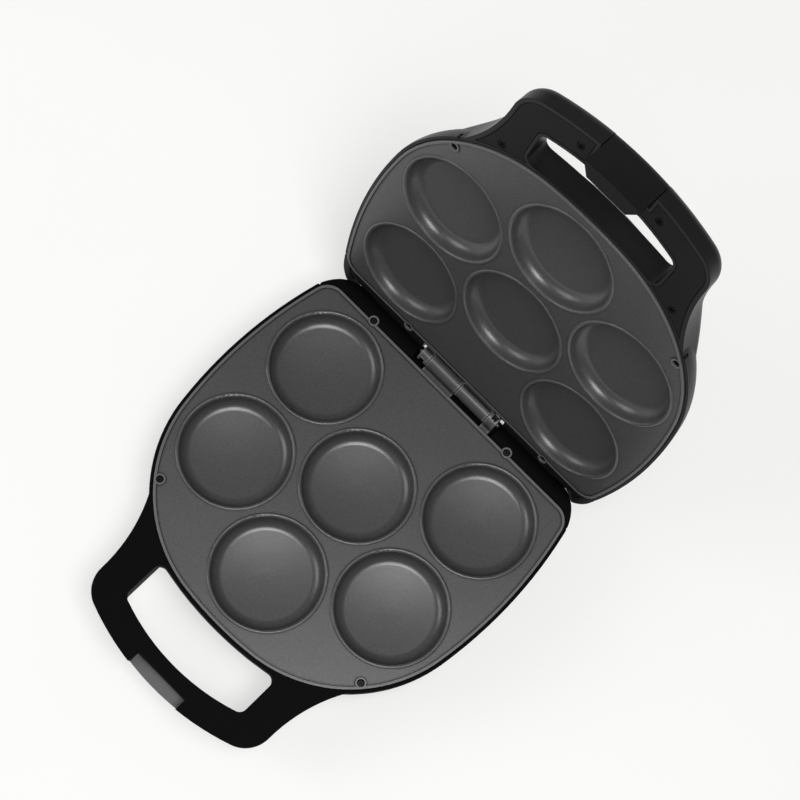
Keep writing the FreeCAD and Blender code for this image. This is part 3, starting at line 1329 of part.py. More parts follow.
base = {
    "base_shell": base_shell(),
    "base_handle_cover": base_handle_cover(),
    "base_handle_screws": cover_screws(COVER_PLAY - BASE_HANDLE_BOTTOM, 1.0),
    "latch_strike": latch_strike(),
    "lower_plate": baking_plate(),
    "lower_plate_screws": plate_screws(),
    "lower_element": heating_element(),
    "lower_element_clamps": element_clamps(),
    "lower_clamp_screws": clamp_screws(),
    "lower_reflector": reflector(),
    "lower_reflector_screws": reflector_screws(),
    "thermostat": thermostat(),
    "thermal_fuse": thermal_fuse(),
    "fuse_clip": fuse_clip(),
    "terminal_block": terminal_block(),
    "cord_gland": cord_gland(),
    "hinge_pin": hinge_pin(),
    "pin_clips": pin_clips(),
}
for name, place in foot_places().items():
    base[name] = foot(*place)

lid = {
    "lid_shell": lid_shell(),
    "lid_handle_cover": lid_handle_cover(),
    "lid_handle_screws": cover_screws(LID_COVER_UNDER, 1.0),
    "lamp_holder": lamp_holder(),
    "latch_pin": latch_pin(),
    "latch_spring": latch_spring(),
}
for name, place in lamp_places().items():
    lid[name] = lamp_lens(*place)
for kind in ("plate", "plate_screws", "element", "element_clamps", "clamp_screws", "reflector", "reflector_screws"):
    lid["upper_" + kind] = flipped(base["lower_" + kind])
lid["latch_clip"] = latch_clip()
for shape in lid.values():
    shape.rotate(V(0, 0, 0), V(1, 0, 0), -OPEN_ANGLE)

# Frame: the middle of the footprint box, on the table
pieces = dict(base)
pieces.update(lid)
bounds = FreeCAD.BoundBox()
for shape in pieces.values():
    bounds.add(shape.optimalBoundingBox(False))
shift = V(0, -bounds.Center.y, HINGE_HEIGHT)

os.makedirs("parts", exist_ok=True)
for name, shape in pieces.items():
    shape.translate(shift)
    shape.exportStep("parts/" + name + ".step")
    print(name, len(shape.Solids), shape.isValid(), round(shape.Volume / 1000.0, 2))

turn = math.radians(OPEN_ANGLE)
pivot_y = math.cos(turn) * LATCH_PIVOT_Y + math.sin(turn) * LATCH_PIVOT_Z
pivot_z = math.cos(turn) * LATCH_PIVOT_Z - math.sin(turn) * LATCH_PIVOT_Y
print("hinge axis", round(shift.y, 4), round(shift.z, 4))
print("latch axis", round(pivot_y + shift.y, 4), round(pivot_z + shift.z, 4))
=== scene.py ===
import json
import math

import bmesh
import bpy
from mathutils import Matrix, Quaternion, Vector


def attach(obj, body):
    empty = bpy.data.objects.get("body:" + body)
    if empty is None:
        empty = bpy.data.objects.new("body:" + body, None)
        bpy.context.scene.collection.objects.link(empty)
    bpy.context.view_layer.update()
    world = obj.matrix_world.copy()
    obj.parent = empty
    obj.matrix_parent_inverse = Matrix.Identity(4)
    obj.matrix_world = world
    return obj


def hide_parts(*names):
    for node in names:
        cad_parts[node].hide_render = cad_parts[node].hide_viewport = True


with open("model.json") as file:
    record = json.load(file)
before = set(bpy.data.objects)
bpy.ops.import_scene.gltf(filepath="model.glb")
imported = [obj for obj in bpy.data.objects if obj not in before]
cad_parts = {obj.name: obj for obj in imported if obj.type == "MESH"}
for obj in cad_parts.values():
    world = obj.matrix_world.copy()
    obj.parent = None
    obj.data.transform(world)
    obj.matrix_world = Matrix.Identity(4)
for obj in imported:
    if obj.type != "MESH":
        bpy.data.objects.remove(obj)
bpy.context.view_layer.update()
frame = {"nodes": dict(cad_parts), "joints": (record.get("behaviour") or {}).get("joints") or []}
nodes = frame["nodes"]

# Camera: a long lens high over the right side, turned so that the handles' side points to the
# lower left of the picture. It is placed from the hinge, so it follows the frame.
CAMERA_FROM_HINGE = (0.10673, -0.42432, 1.36596)
CAMERA_TURN = (0.9120316, 0.1449130, -0.0116420, 0.3834880)
hinge = next(joint for joint in frame["joints"] if joint["name"] == "lid_hinge")
lens = bpy.data.cameras.new("camera")
lens.sensor_width = 36.0
lens.lens = 97.914
lens.clip_end = 200.0
camera = bpy.data.objects.new("camera", lens)
camera.location = Vector(hinge["pos_m"]) + Vector(CAMERA_FROM_HINGE)
camera.rotation_mode = "QUATERNION"
camera.rotation_quaternion = Quaternion(CAMERA_TURN)
bpy.context.scene.collection.objects.link(camera)
bpy.context.scene.camera = camera
bpy.context.scene.view_settings.view_transform = "Standard"


# Floor: a plain pale worktop, matt, so that it takes soft shadows and throws light back up.
# To the eye and in reflections part of it is plain white, which keeps the background even.
def srgb(code):
    """Linear RGBA of an sRGB hex colour."""
    channels = [int(code[i:i + 2], 16) / 255.0 for i in (1, 3, 5)]
    linear = [c / 12.92 if c <= 0.04045 else ((c + 0.055) / 1.055) ** 2.4 for c in channels]
    return (*linear, 1.0)


def add_node(tree, kind, settings=None, links=None):
    """A node with its settings, by property or socket name; a link is (node, output name)."""
    node = tree.nodes.new(kind)
    for name, value in (settings or {}).items():
        if isinstance(name, str) and hasattr(node, name):
            setattr(node, name, value)
        else:
            node.inputs[name].default_value = value
    for name, (source, output) in (links or {}).items():
        tree.links.new(source.outputs[output], node.inputs[name])
    return node


def new_material(name):
    """A material with an empty node tree, and that tree."""
    material = bpy.data.materials.new(name)
    material.use_nodes = True
    material.node_tree.nodes.clear()
    return material, material.node_tree


# A Mix node names its colour sockets as its number sockets, so they go by place.
MIX_DARK, MIX_PALE, MIXED = 6, 7, 2


def two_tone(tree, dark, pale, share):
    """Mix of two hex colours by a share, given as (node, output name)."""
    return add_node(tree, "ShaderNodeMix",
                    {"data_type": "RGBA", MIX_DARK: srgb(dark), MIX_PALE: srgb(pale)},
                    {"Factor": share})


WHITE_SHARE = 0.6
worktop, tree = new_material("matt_white_worktop")
place = add_node(tree, "ShaderNodeTexCoord")
cloud = add_node(tree, "ShaderNodeTexNoise", {"Scale": 3.0, "Detail": 2.0},
                 {"Vector": (place, "Object")})
tint = two_tone(tree, "#F4F4F3", "#F9F9F8", (cloud, "Fac"))
paint = add_node(tree, "ShaderNodeBsdfPrincipled", {"Roughness": 0.8, "Specular IOR Level": 0.1},
                 {"Base Color": (tint, MIXED)})
white = add_node(tree, "ShaderNodeEmission", {"Strength": 1.0}, {"Color": (tint, MIXED)})
ray = add_node(tree, "ShaderNodeLightPath")
mirrored = add_node(tree, "ShaderNodeMath", {"operation": "MAXIMUM"},
                    {0: (ray, "Is Glossy Ray"), 1: (ray, "Is Transmission Ray")})
seen = add_node(tree, "ShaderNodeMath", {"operation": "MAXIMUM"},
                {0: (ray, "Is Camera Ray"), 1: (mirrored, "Value")})
part = add_node(tree, "ShaderNodeMath", {"operation": "MULTIPLY", 1: WHITE_SHARE},
                {0: (seen, "Value")})
top = add_node(tree, "ShaderNodeMixShader",
               links={0: (part, "Value"), 1: (paint, "BSDF"), 2: (white, "Emission")})
add_node(tree, "ShaderNodeOutputMaterial", links={"Surface": (top, "Shader")})
FLOOR_HALF = 60.0
corners = [(-FLOOR_HALF, -FLOOR_HALF, 0), (FLOOR_HALF, -FLOOR_HALF, 0),
           (FLOOR_HALF, FLOOR_HALF, 0), (-FLOOR_HALF, FLOOR_HALF, 0)]
floor_mesh = bpy.data.meshes.new("floor")
floor_mesh.from_pydata(corners, [], [(0, 1, 2, 3)])
floor_mesh.materials.append(worktop)
floor = bpy.data.objects.new("floor", floor_mesh)
bpy.context.scene.collection.objects.link(floor)

# Studio light: a dim room with a pale horizon, one large soft box high on the right that lays the
# glow on the well floors, and a weaker one on the left that draws the highlights on the well walls.
world = bpy.data.worlds.new("studio")
world.use_nodes = True
bpy.context.scene.world = world
tree = world.node_tree
tree.nodes.clear()
way = add_node(tree, "ShaderNodeTexCoord")
height = add_node(tree, "ShaderNodeSeparateXYZ", links={"Vector": (way, "Generated")})
level = add_node(tree, "ShaderNodeMapRange", {"To Min": 0.2, "To Max": 0.3},
                 {"Value": (height, "Z")})
horizon = add_node(tree, "ShaderNodeMapRange",
                   {"From Min": 0.02, "From Max": 0.1, "To Min": 0.55, "To Max": 0.0},
                   {"Value": (height, "Z")})
glow = add_node(tree, "ShaderNodeMath", {"operation": "ADD"},
                {0: (level, "Result"), 1: (horizon, "Result")})
sky = add_node(tree, "ShaderNodeBackground", {"Color": (1.0, 1.0, 1.0, 1.0)},
               {"Strength": (glow, "Value")})
add_node(tree, "ShaderNodeOutputWorld", links={"Surface": (sky, "Background")})


def soft_box(name, location, aim, size, watts):
    """Rectangular area lamp that points from its place to its aim."""
    lamp = bpy.data.lights.new(name, "AREA")
    lamp.shape = "RECTANGLE"
    lamp.size, lamp.size_y = size
    lamp.energy = watts
    holder = bpy.data.objects.new(name, lamp)
    holder.location = location
    holder.rotation_mode = "QUATERNION"
    holder.rotation_quaternion = (Vector(aim) - Vector(location)).to_track_quat("-Z", "Y")
    bpy.context.scene.collection.objects.link(holder)


PLATE_MIDDLE = (0.0, 0.0, 0.05)
soft_box("key_light", (0.44, -0.3, 2.2), PLATE_MIDDLE, size=(0.9, 0.9), watts=36.0)
soft_box("side_light", (-1.35, -1.05, 1.2), PLATE_MIDDLE, size=(1.1, 1.1), watts=15.0)


# Feet and gland: black rubber, compression moulded, pushed into the shell's sockets.
# Their surface is made as that of all the moulded pieces is, from the sizes of its grain.
def dress(material, *names):
    """Gives CAD nodes one material."""
    for name in names:
        mesh = nodes[name].data
        mesh.materials.clear()
        mesh.materials.append(material)


MM_PER_M = 1000.0
FINE_RELIEF = 0.0001
GLOSS_DRIFT = 0.07
# Edge tones: sharp edges are painted paler as a painted highlight, or on seams darker as a painted
# shade.
EDGE_HIGHLIGHT_TONE, SEAM_SHADE_TONE = 0.8, -0.6
FLAT_COSINE, EDGE_COSINE = 0.995, 0.85


def moulded(name, dark, pale, rough, sheen, grain_mm, depth, edge_mm, painted_seam_shade=False):
    """Moulded surface: grain of that size in bump and colour, slow drift in gloss, softened edges.

    Its sharp edges are painted paler, a painted highlight; on seams they are instead painted as a
    dark line without sheen, a painted shade.
    """
    material, tree = new_material(name)
    place = add_node(tree, "ShaderNodeTexCoord")
    grain = add_node(tree, "ShaderNodeTexNoise",
                     {"Scale": MM_PER_M / grain_mm, "Detail": 3.0, "Roughness": 0.6},
                     {"Vector": (place, "Object")})
    drift = add_node(tree, "ShaderNodeTexNoise", {"Scale": 18.0, "Detail": 3.0},
                     {"Vector": (place, "Object")})
    flat = add_node(tree, "ShaderNodeNewGeometry")
    soft = add_node(tree, "ShaderNodeBevel", {"samples": 4, "Radius": edge_mm / MM_PER_M})
    along = add_node(tree, "ShaderNodeVectorMath", {"operation": "DOT_PRODUCT"},
                     {0: (flat, "Normal"), 1: (soft, "Normal")})
    edge = add_node(tree, "ShaderNodeMapRange",
                    {"From Min": FLAT_COSINE, "From Max": EDGE_COSINE,
                     "To Min": 0.0, "To Max": SEAM_SHADE_TONE if painted_seam_shade else EDGE_HIGHLIGHT_TONE},
                    {"Value": (along, "Value")})
    fleck = add_node(tree, "ShaderNodeMath", {"operation": "MULTIPLY"},
                     {0: (grain, "Fac"), 1: (drift, "Fac")})
    grain_and_painted_edges = add_node(tree, "ShaderNodeMath", {"operation": "ADD", "use_clamp": True},
                    {0: (fleck, "Value"), 1: (edge, "Result")})
    tint = two_tone(tree, dark, pale, (grain_and_painted_edges, "Value"))
    gloss = add_node(tree, "ShaderNodeMapRange",
                     {"To Min": rough - GLOSS_DRIFT, "To Max": rough + GLOSS_DRIFT},
                     {"Value": (drift, "Fac")})
    bump = add_node(tree, "ShaderNodeBump", {"Strength": depth, "Distance": FINE_RELIEF},
                    {"Height": (grain, "Fac"), "Normal": (soft, "Normal")})
    shader = add_node(tree, "ShaderNodeBsdfPrincipled", {"Specular IOR Level": sheen},
                      {"Base Color": (tint, MIXED), "Roughness": (gloss, "Result"),
                       "Normal": (bump, "Normal")})
    # On seams the sheen also falls away at the edges, as part of the painted shade.
    if painted_seam_shade:
        shine = add_node(tree, "ShaderNodeMapRange",
                         {"From Min": FLAT_COSINE, "From Max": EDGE_COSINE,
                          "To Min": sheen, "To Max": 0.0},
                         {"Value": (along, "Value")})
        tree.links.new(shine.outputs["Result"], shader.inputs["Specular IOR Level"])
    add_node(tree, "ShaderNodeOutputMaterial", links={"Surface": (shader, "BSDF")})
    return material


# Dull black with a dusty bloom.
rubber = moulded("moulded_rubber", "#101010", "#262625", rough=0.75, sheen=0.25,
                 grain_mm=0.6, depth=0.35, edge_mm=0.3)
dress(rubber, "foot_front_left", "foot_front_right", "foot_rear_left", "foot_rear_right",
      "cord_gland")

# Base shell: injection-moulded ABS tub with its handle, rear deck and hinge notch; the panel under
# its handle is moulded in the same plastic and screwed on from below.
# A fine spark-eroded grain gives the black a dull satin and no clear reflections.
black_abs = moulded("moulded_black_abs", "#050505", "#0E0E0E", rough=0.58, sheen=0.03,
                    grain_mm=0.5, depth=0.3, edge_mm=0.4)
dress(black_abs, "base_shell", "base_handle_cover")

# Latch strike: grey moulded insert that lines the notch at the handle's front, behind whose edge
# the clip's hook catches. The mains terminal block is the same plastic.
# A flat mid grey with a faint moulding grain.
grey_abs = moulded("moulded_grey_abs", "#535354", "#666667", rough=0.5, sheen=0.2,
                   grain_mm=0.6, depth=0.25, edge_mm=0.3)
dress(grey_abs, "latch_strike", "terminal_block")

# Heaters and inner metal: a tubular steel element clamped under each plate, bright sheet reflectors
# and the clips and pins around them, all drawn, rolled or stamped metal.
METAL_GLOSS_DRIFT = 0.1


def bare_metal(name, dark, pale, rough, grain_mm, stretch):
    """Metal with drawn or rolled lines: noise pulled along X by that factor, in colour and gloss."""
    material, tree = new_material(name)
    place = add_node(tree, "ShaderNodeTexCoord")
    pulled = add_node(tree, "ShaderNodeMapping", {"Scale": (1.0 / stretch, 1.0, 1.0)},
                      {"Vector": (place, "Object")})
    lines = add_node(tree, "ShaderNodeTexNoise", {"Scale": MM_PER_M / grain_mm, "Detail": 4.0},
                     {"Vector": (pulled, "Vector")})
    stain = add_node(tree, "ShaderNodeTexNoise", {"Scale": 60.0, "Detail": 3.0},
                     {"Vector": (place, "Object")})
    both = add_node(tree, "ShaderNodeMath", {"operation": "MULTIPLY"},
                    {0: (lines, "Fac"), 1: (stain, "Fac")})
    tone = add_node(tree, "ShaderNodeMapRange", {"From Min": 0.1, "From Max": 0.45},
                    {"Value": (both, "Value")})
    tint = two_tone(tree, dark, pale, (tone, "Result"))
    gloss = add_node(tree, "ShaderNodeMapRange",
                     {"To Min": rough - METAL_GLOSS_DRIFT, "To Max": rough + METAL_GLOSS_DRIFT},
                     {"Value": (stain, "Fac")})
    bump = add_node(tree, "ShaderNodeBump", {"Strength": 0.15, "Distance": FINE_RELIEF},
                    {"Height": (lines, "Fac")})
    shader = add_node(tree, "ShaderNodeBsdfPrincipled", {"Metallic": 1.0},
                      {"Base Color": (tint, MIXED), "Roughness": (gloss, "Result"),
                       "Normal": (bump, "Normal")})
    add_node(tree, "ShaderNodeOutputMaterial", links={"Surface": (shader, "BSDF")})
    return material


# The sheath is dulled and browned by heat, the sheet is bright with rolling lines, the steel shows
# fine drawing lines and the nickel is a warm, soft grey.
sheath = bare_metal("heat_tinted_sheath", "#4A4340", "#7C746C", rough=0.5, grain_mm=1.5, stretch=1.0)
sheet = bare_metal("aluminised_sheet", "#8C8D8E", "#B9BABB", rough=0.34, grain_mm=0.8, stretch=25.0)
drawn_steel = bare_metal("drawn_steel", "#6E6F71", "#9FA0A2", rough=0.35, grain_mm=0.5, stretch=12.0)
nickel = bare_metal("nickel_plate", "#96938C", "#BDB9B0", rough=0.28, grain_mm=0.9, stretch=1.0)
dress(sheath, "lower_element", "upper_element")
dress(sheet, "lower_reflector", "upper_reflector", "lower_element_clamps", "upper_element_clamps",
      "fuse_clip")
dress(drawn_steel, "lower_clamp_screws", "upper_clamp_screws", "lower_reflector_screws",
      "upper_reflector_screws")
dress(nickel, "thermostat", "thermal_fuse")

# Baking plates: two aluminium die castings under a sprayed dark grey non-stick coat, with six wells
# and a raised lip each, and hinge knuckles cast on the rear edge.
# The coat has a sandy mica speckle, a soft wide highlight, painted highlight on ridges and painted
# shade in creases.
SAND_MM, MICA_MM, PEEL_MM = 0.8, 0.7, 3.5
COAT_SHEEN = 0.5
coat, tree = new_material("nonstick_coat")
place = add_node(tree, "ShaderNodeTexCoord")
sand = add_node(tree, "ShaderNodeTexNoise",
                {"Scale": MM_PER_M / SAND_MM, "Detail": 3.0, "Roughness": 0.7},
                {"Vector": (place, "Object")})
mica = add_node(tree, "ShaderNodeTexVoronoi", {"Scale": MM_PER_M / MICA_MM},
                {"Vector": (place, "Object")})
peel = add_node(tree, "ShaderNodeTexNoise", {"Scale": MM_PER_M / PEEL_MM, "Detail": 2.0},
                {"Vector": (place, "Object")})
drift = add_node(tree, "ShaderNodeTexNoise", {"Scale": 14.0, "Detail": 3.0},
                 {"Vector": (place, "Object")})
soft = add_node(tree, "ShaderNodeBevel", {"samples": 4, "Radius": 0.0005})
# Ridges and convex edges, found by the inside AO node, are painted paler: a painted highlight.
ridge = add_node(tree, "ShaderNodeAmbientOcclusion",
                 {"samples": 4, "only_local": True, "inside": True, "Distance": 0.0015})
edge = add_node(tree, "ShaderNodeMapRange",
                {"From Min": 0.97, "From Max": 0.7, "To Min": 0.0, "To Max": 0.9},
                {"Value": (ridge, "AO")})
spark = add_node(tree, "ShaderNodeMapRange",
                 {"From Min": 0.18, "From Max": 0.05, "To Min": 0.0, "To Max": 0.5},
                 {"Value": (mica, "Distance")})
fleck = add_node(tree, "ShaderNodeMath", {"operation": "ADD"},
                 {0: (sand, "Fac"), 1: (spark, "Result")})
grain_and_painted_edges = add_node(tree, "ShaderNodeMath", {"operation": "ADD"},
                {0: (fleck, "Value"), 1: (edge, "Result")})
tone = add_node(tree, "ShaderNodeMapRange", {"From Min": 0.3, "From Max": 1.1},
                {"Value": (grain_and_painted_edges, "Value")})
coat_tint = two_tone(tree, "#2A2A2B", "#545455", (tone, "Result"))
# Creases, found by the AO node, are painted near black and lose most of their sheen: painted shade.
crease = add_node(tree, "ShaderNodeAmbientOcclusion",
                  {"samples": 4, "only_local": True, "Distance": 0.002})
crease_shade = add_node(tree, "ShaderNodeMapRange",
                 {"From Min": 0.7, "From Max": 0.95, "To Min": 0.1, "To Max": 1.0},
                 {"Value": (crease, "AO")})
shine = add_node(tree, "ShaderNodeMath", {"operation": "MULTIPLY", 1: COAT_SHEEN},
                 {0: (crease_shade, "Result")})
tint = add_node(tree, "ShaderNodeMix", {"data_type": "RGBA", MIX_DARK: srgb("#0C0C0C")},
                {"Factor": (crease_shade, "Result"), MIX_PALE: (coat_tint, MIXED)})
gloss = add_node(tree, "ShaderNodeMapRange", {"To Min": 0.27, "To Max": 0.37},
                 {"Value": (drift, "Fac")})
ripple = add_node(tree, "ShaderNodeBump", {"Strength": 0.1, "Distance": 0.0003},
                  {"Height": (peel, "Fac"), "Normal": (soft, "Normal")})
bump = add_node(tree, "ShaderNodeBump", {"Strength": 0.25, "Distance": FINE_RELIEF},
                {"Height": (sand, "Fac"), "Normal": (ripple, "Normal")})
shader = add_node(tree, "ShaderNodeBsdfPrincipled", {"IOR": 1.55},
                  {"Base Color": (tint, MIXED), "Roughness": (gloss, "Result"),
                   "Normal": (bump, "Normal"), "Specular IOR Level": (shine, "Value")})
add_node(tree, "ShaderNodeOutputMaterial", links={"Surface": (shader, "BSDF")})
dress(coat, "lower_plate", "upper_plate")

# Hinge pin: a drawn steel rod through the interleaved knuckles, held by a spring ring at each end.
# A phosphated grey, duller than the inner steel.
hinge_steel = bare_metal("phosphated_steel", "#3A3B3C", "#66676A", rough=0.5, grain_mm=0.5,
                         stretch=8.0)
dress(hinge_steel, "hinge_pin", "pin_clips")

# Lid shell: injection-moulded ABS dome with its handle, from a smoother mould than the base; it
# turns with the upper plate that is screwed into it.
# A satin black that catches long soft highlights on its rounded shoulders; its seams and sharp edges
# carry painted shade, a dark line without sheen.
lid_abs = moulded("lid_black_abs", "#0C0C0D", "#1C1C1D", rough=0.4, sheen=0.28,
                  grain_mm=0.45, depth=0.2, edge_mm=0.7, painted_seam_shade=True)
dress(lid_abs, "lid_shell")

# Handle panel and latch clip: moulded ABS; the panel closes the lid's handle from below and the clip
# swings on a steel pin at the handle's front against a bent strip of spring steel.
# Duller than the lid shell, with painted shade round each piece's sharp edges: a dark line without
# sheen.
satin_abs = moulded("satin_black_abs", "#0F0F10", "#212122", rough=0.46, sheen=0.12,
                    grain_mm=0.45, depth=0.2, edge_mm=0.7, painted_seam_shade=True)
dress(satin_abs, "lid_handle_cover", "latch_clip")
dress(drawn_steel, "latch_pin", "latch_spring")

# Lamps: two round polycarbonate lenses on the lid's top, snapped in over a grey moulded holder.
# The lenses are injection moulded with a pebbled inside that spreads the light.
PEBBLE_MM = 0.5


def lens_plastic(name, dark, pale):
    """Tinted plastic with a moulded pebble grain and a glossy face."""
    material, tree = new_material(name)
    place = add_node(tree, "ShaderNodeTexCoord")
    pebble = add_node(tree, "ShaderNodeTexNoise", {"Scale": MM_PER_M / PEBBLE_MM, "Detail": 2.0},
                      {"Vector": (place, "Object")})
    tint = two_tone(tree, dark, pale, (pebble, "Fac"))
    bump = add_node(tree, "ShaderNodeBump", {"Strength": 0.2, "Distance": FINE_RELIEF},
                    {"Height": (pebble, "Fac")})
    shader = add_node(tree, "ShaderNodeBsdfPrincipled",
                      {"Roughness": 0.14, "Coat Weight": 0.4, "IOR": 1.58},
                      {"Base Color": (tint, MIXED), "Normal": (bump, "Normal")})
    add_node(tree, "ShaderNodeOutputMaterial", links={"Surface": (shader, "BSDF")})
    return material


# Deep colour with a wet-looking highlight and a faint pebbled depth.
dress(lens_plastic("red_polycarbonate", "#5E0A0A", "#93120F"), "power_lamp_lens")
dress(lens_plastic("green_polycarbonate", "#0B4A1C", "#12702C"), "ready_lamp_lens")
dress(grey_abs, "lamp_holder")

# Visible screws: blackened pan-head tapping screws with a cross recess, cold headed. Four hold each
# plate down on its shell and four hold each handle's panel.
# Dark metal, uneven in tone and gloss, with the recess in shade.
black_screw = bare_metal("blackened_steel", "#161617", "#2C2C2E", rough=0.42, grain_mm=0.5,
                         stretch=1.0)
SCREW_INPUTS = ("Head Radius", "Head Height", "Shank Radius", "Shank Length", "Recess Arm",
                "Recess Slot", "Recess Depth")
SHANK_OVERLAP = 0.0002
SMOOTH_BELOW = 0.6
QUARTER_TURN = 1.5708
tree = screw_tree = bpy.data.node_groups.new("cross_head_screws", "GeometryNodeTree")
tree.interface.new_socket("Places", in_out="INPUT", socket_type="NodeSocketGeometry")
socket_ids = {}
for label in SCREW_INPUTS:
    socket = tree.interface.new_socket(label, in_out="INPUT", socket_type="NodeSocketFloat")
    socket_ids[label] = socket.identifier
tree.interface.new_socket("Screws", in_out="OUTPUT", socket_type="NodeSocketGeometry")
given = add_node(tree, "NodeGroupInput")

# The head is swept up a short line, with its girth drawn in at the crown.
fall = add_node(tree, "ShaderNodeMath", {"operation": "MULTIPLY", 1: -1.0},
                {0: (given, "Head Height")})
seat = add_node(tree, "ShaderNodeCombineXYZ", links={"Z": (fall, "Value")})
spine = add_node(tree, "GeometryNodeCurvePrimitiveLine", {"End": (0.0, 0.0, 0.0)},
                 {"Start": (seat, "Vector")})
steps = add_node(tree, "GeometryNodeResampleCurve", {"Count": 9}, {"Curve": (spine, "Curve")})
share = add_node(tree, "GeometryNodeSplineParameter")
crown = add_node(tree, "ShaderNodeFloatCurve", links={"Value": (share, "Factor")})
profile = crown.mapping.curves[0].points
for spot, (x, y) in zip(profile, ((0.0, 1.0), (1.0, 0.74))):
    spot.location = (x, y)
profile.new(0.55, 1.0)
profile.new(0.85, 0.92)
crown.mapping.update()
girth = add_node(tree, "ShaderNodeMath", {"operation": "MULTIPLY"},
                 {0: (crown, "Value"), 1: (given, "Head Radius")})
ring = add_node(tree, "GeometryNodeCurvePrimitiveCircle", {"Resolution": 32, "Radius": 1.0})
head = add_node(tree, "GeometryNodeCurveToMesh", {"Fill Caps": True},
                {"Curve": (steps, "Curve"), "Profile Curve": (ring, "Curve"),
                 "Scale": (girth, "Value")})

# The shank hangs below and is joined to the head; two crossed bars then cut the recess.
shank = add_node(tree, "GeometryNodeMeshCylinder", {"Vertices": 20},
                 {"Radius": (given, "Shank Radius"), "Depth": (given, "Shank Length")})
half = add_node(tree, "ShaderNodeMath", {"operation": "MULTIPLY_ADD", 1: -0.5},
                {0: (given, "Shank Length"), 2: (fall, "Value")})
raised = add_node(tree, "ShaderNodeMath", {"operation": "ADD", 1: SHANK_OVERLAP},
                  {0: (half, "Value")})
below = add_node(tree, "ShaderNodeCombineXYZ", links={"Z": (raised, "Value")})
hung = add_node(tree, "GeometryNodeTransform",
                links={"Geometry": (shank, "Mesh"), "Translation": (below, "Vector")})
blank = add_node(tree, "GeometryNodeMeshBoolean", {"operation": "UNION"})
tree.links.new(head.outputs["Mesh"], blank.inputs[1])
tree.links.new(hung.outputs["Geometry"], blank.inputs[1])
cut = add_node(tree, "GeometryNodeMeshBoolean", {"operation": "DIFFERENCE"}, {0: (blank, "Mesh")})
spans = {}
for label in ("Recess Arm", "Recess Slot", "Recess Depth"):
    spans[label] = add_node(tree, "ShaderNodeMath", {"operation": "MULTIPLY", 1: 2.0},
                            {0: (given, label)})
for long_side, short_side in (("X", "Y"), ("Y", "X")):
    extent = add_node(tree, "ShaderNodeCombineXYZ",
                      links={long_side: (spans["Recess Arm"], "Value"),
                             short_side: (spans["Recess Slot"], "Value"),
                             "Z": (spans["Recess Depth"], "Value")})
    slot_box = add_node(tree, "GeometryNodeMeshCube", links={"Size": (extent, "Vector")})
    tree.links.new(slot_box.outputs["Mesh"], cut.inputs[1])
angle = add_node(tree, "GeometryNodeInputMeshEdgeAngle")
sharp = add_node(tree, "FunctionNodeCompare", {"operation": "LESS_THAN", 1: SMOOTH_BELOW},
                 {0: (angle, "Unsigned Angle")})
rounded = add_node(tree, "GeometryNodeSetShadeSmooth", {"domain": "EDGE"},
                   {"Geometry": (cut, "Mesh"), "Shade Smooth": (sharp, "Result")})

# One screw stands on each place, head outward, with its cross turned by chance.
facing = add_node(tree, "GeometryNodeInputNamedAttribute",
                  {"data_type": "FLOAT_VECTOR", "Name": "way"})
upright = add_node(tree, "FunctionNodeAlignRotationToVector", {"axis": "Z"},
                   {"Vector": (facing, "Attribute")})
spin = add_node(tree, "FunctionNodeRandomValue",
                {"data_type": "FLOAT", 2: 0.0, 3: QUARTER_TURN, "Seed": 7})
twist = add_node(tree, "ShaderNodeCombineXYZ", links={"Z": (spin, 1)})
turned = add_node(tree, "FunctionNodeRotateRotation", {"rotation_space": "LOCAL"},
                  {"Rotation": (upright, "Rotation"), "Rotate By": (twist, "Vector")})
copies = add_node(tree, "GeometryNodeInstanceOnPoints",
                  links={"Points": (given, "Places"), "Instance": (rounded, "Geometry"),
                         "Rotation": (turned, "Rotation")})
solid = add_node(tree, "GeometryNodeRealizeInstances", links={"Geometry": (copies, "Instances")})
finish = add_node(tree, "GeometryNodeSetMaterial", {"Material": black_screw},
                  {"Geometry": (solid, "Geometry")})
add_node(tree, "NodeGroupOutput", links={"Screws": (finish, "Geometry")})

WELD, SAME_HEIGHT = 1e-6, 1e-5
HEAD_RIM = 0.98
RECESS_ARM, RECESS_SLOT, RECESS_DEPTH = 0.62, 0.16, 0.0008


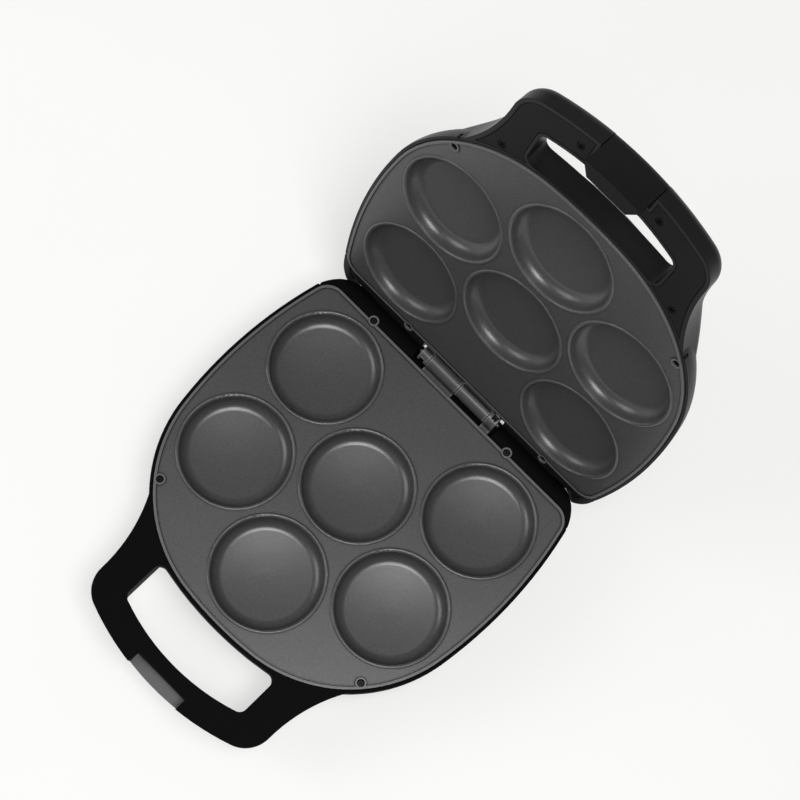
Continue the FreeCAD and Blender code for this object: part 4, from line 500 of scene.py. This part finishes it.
def screws(group, body, outward):
    """Stands for one CAD group of screws; outward is the way their heads face."""
    bm = bmesh.new()
    bm.from_mesh(nodes[group].data)
    bmesh.ops.remove_doubles(bm, verts=bm.verts, dist=WELD)
    tops = []
    done = set()
    for first in bm.verts:
        if first in done:
            continue
        done.add(first)
        found = [first]
        for vert in found:
            for edge in vert.link_edges:
                near = edge.other_vert(vert)
                if near not in done:
                    done.add(near)
                    found.append(near)
        points = [vert.co for vert in found]
        heights = [point.dot(outward) for point in points]
        tip, crest = min(heights), max(heights)
        ends = [p for p, h in zip(points, heights) if h < tip + SAME_HEIGHT]
        middle = sum(ends, Vector())
        middle /= len(ends)
        radii = [(p - middle - outward * (p - middle).dot(outward)).length for p in points]
        head_r = max(radii)
        under = min(h for h, r in zip(heights, radii) if r > HEAD_RIM * head_r)
        shank_r = max(r for h, r in zip(heights, radii) if h < tip + SAME_HEIGHT)
        tops.append(middle + outward * (crest - tip))
        values = (head_r, crest - under, shank_r, under - tip + SHANK_OVERLAP,
                  RECESS_ARM * head_r, RECESS_SLOT * head_r, RECESS_DEPTH)
    bm.free()
    mesh = bpy.data.meshes.new(group + "_places")
    mesh.from_pydata(tops, [], [])
    ways = mesh.attributes.new("way", "FLOAT_VECTOR", "POINT")
    ways.data.foreach_set("vector", list(outward) * len(tops))
    maker = bpy.data.objects.new(group + "_places", mesh)
    bpy.context.scene.collection.objects.link(maker)
    modifier = maker.modifiers.new("screws", "NODES")
    modifier.node_group = screw_tree
    for label, value in zip(SCREW_INPUTS, values):
        modifier[socket_ids[label]] = value
    evaluated = maker.evaluated_get(bpy.context.evaluated_depsgraph_get())
    made = bpy.data.meshes.new_from_object(evaluated)
    bpy.data.objects.remove(maker)
    piece = bpy.data.objects.new("visual_" + group, made)
    bpy.context.scene.collection.objects.link(piece)
    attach(piece, body)
    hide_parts(group)


# The open lid's underside faces this way: straight down, turned with the lid about the hinge axis.
opened = math.radians(hinge["range_deg"][1])
lid_under = Vector((0.0, -math.sin(opened), -math.cos(opened)))
screws("lower_plate_screws", "base", Vector((0.0, 0.0, 1.0)))
screws("base_handle_screws", "base", Vector((0.0, 0.0, -1.0)))
screws("upper_plate_screws", "lid", lid_under)
screws("lid_handle_screws", "lid", lid_under)
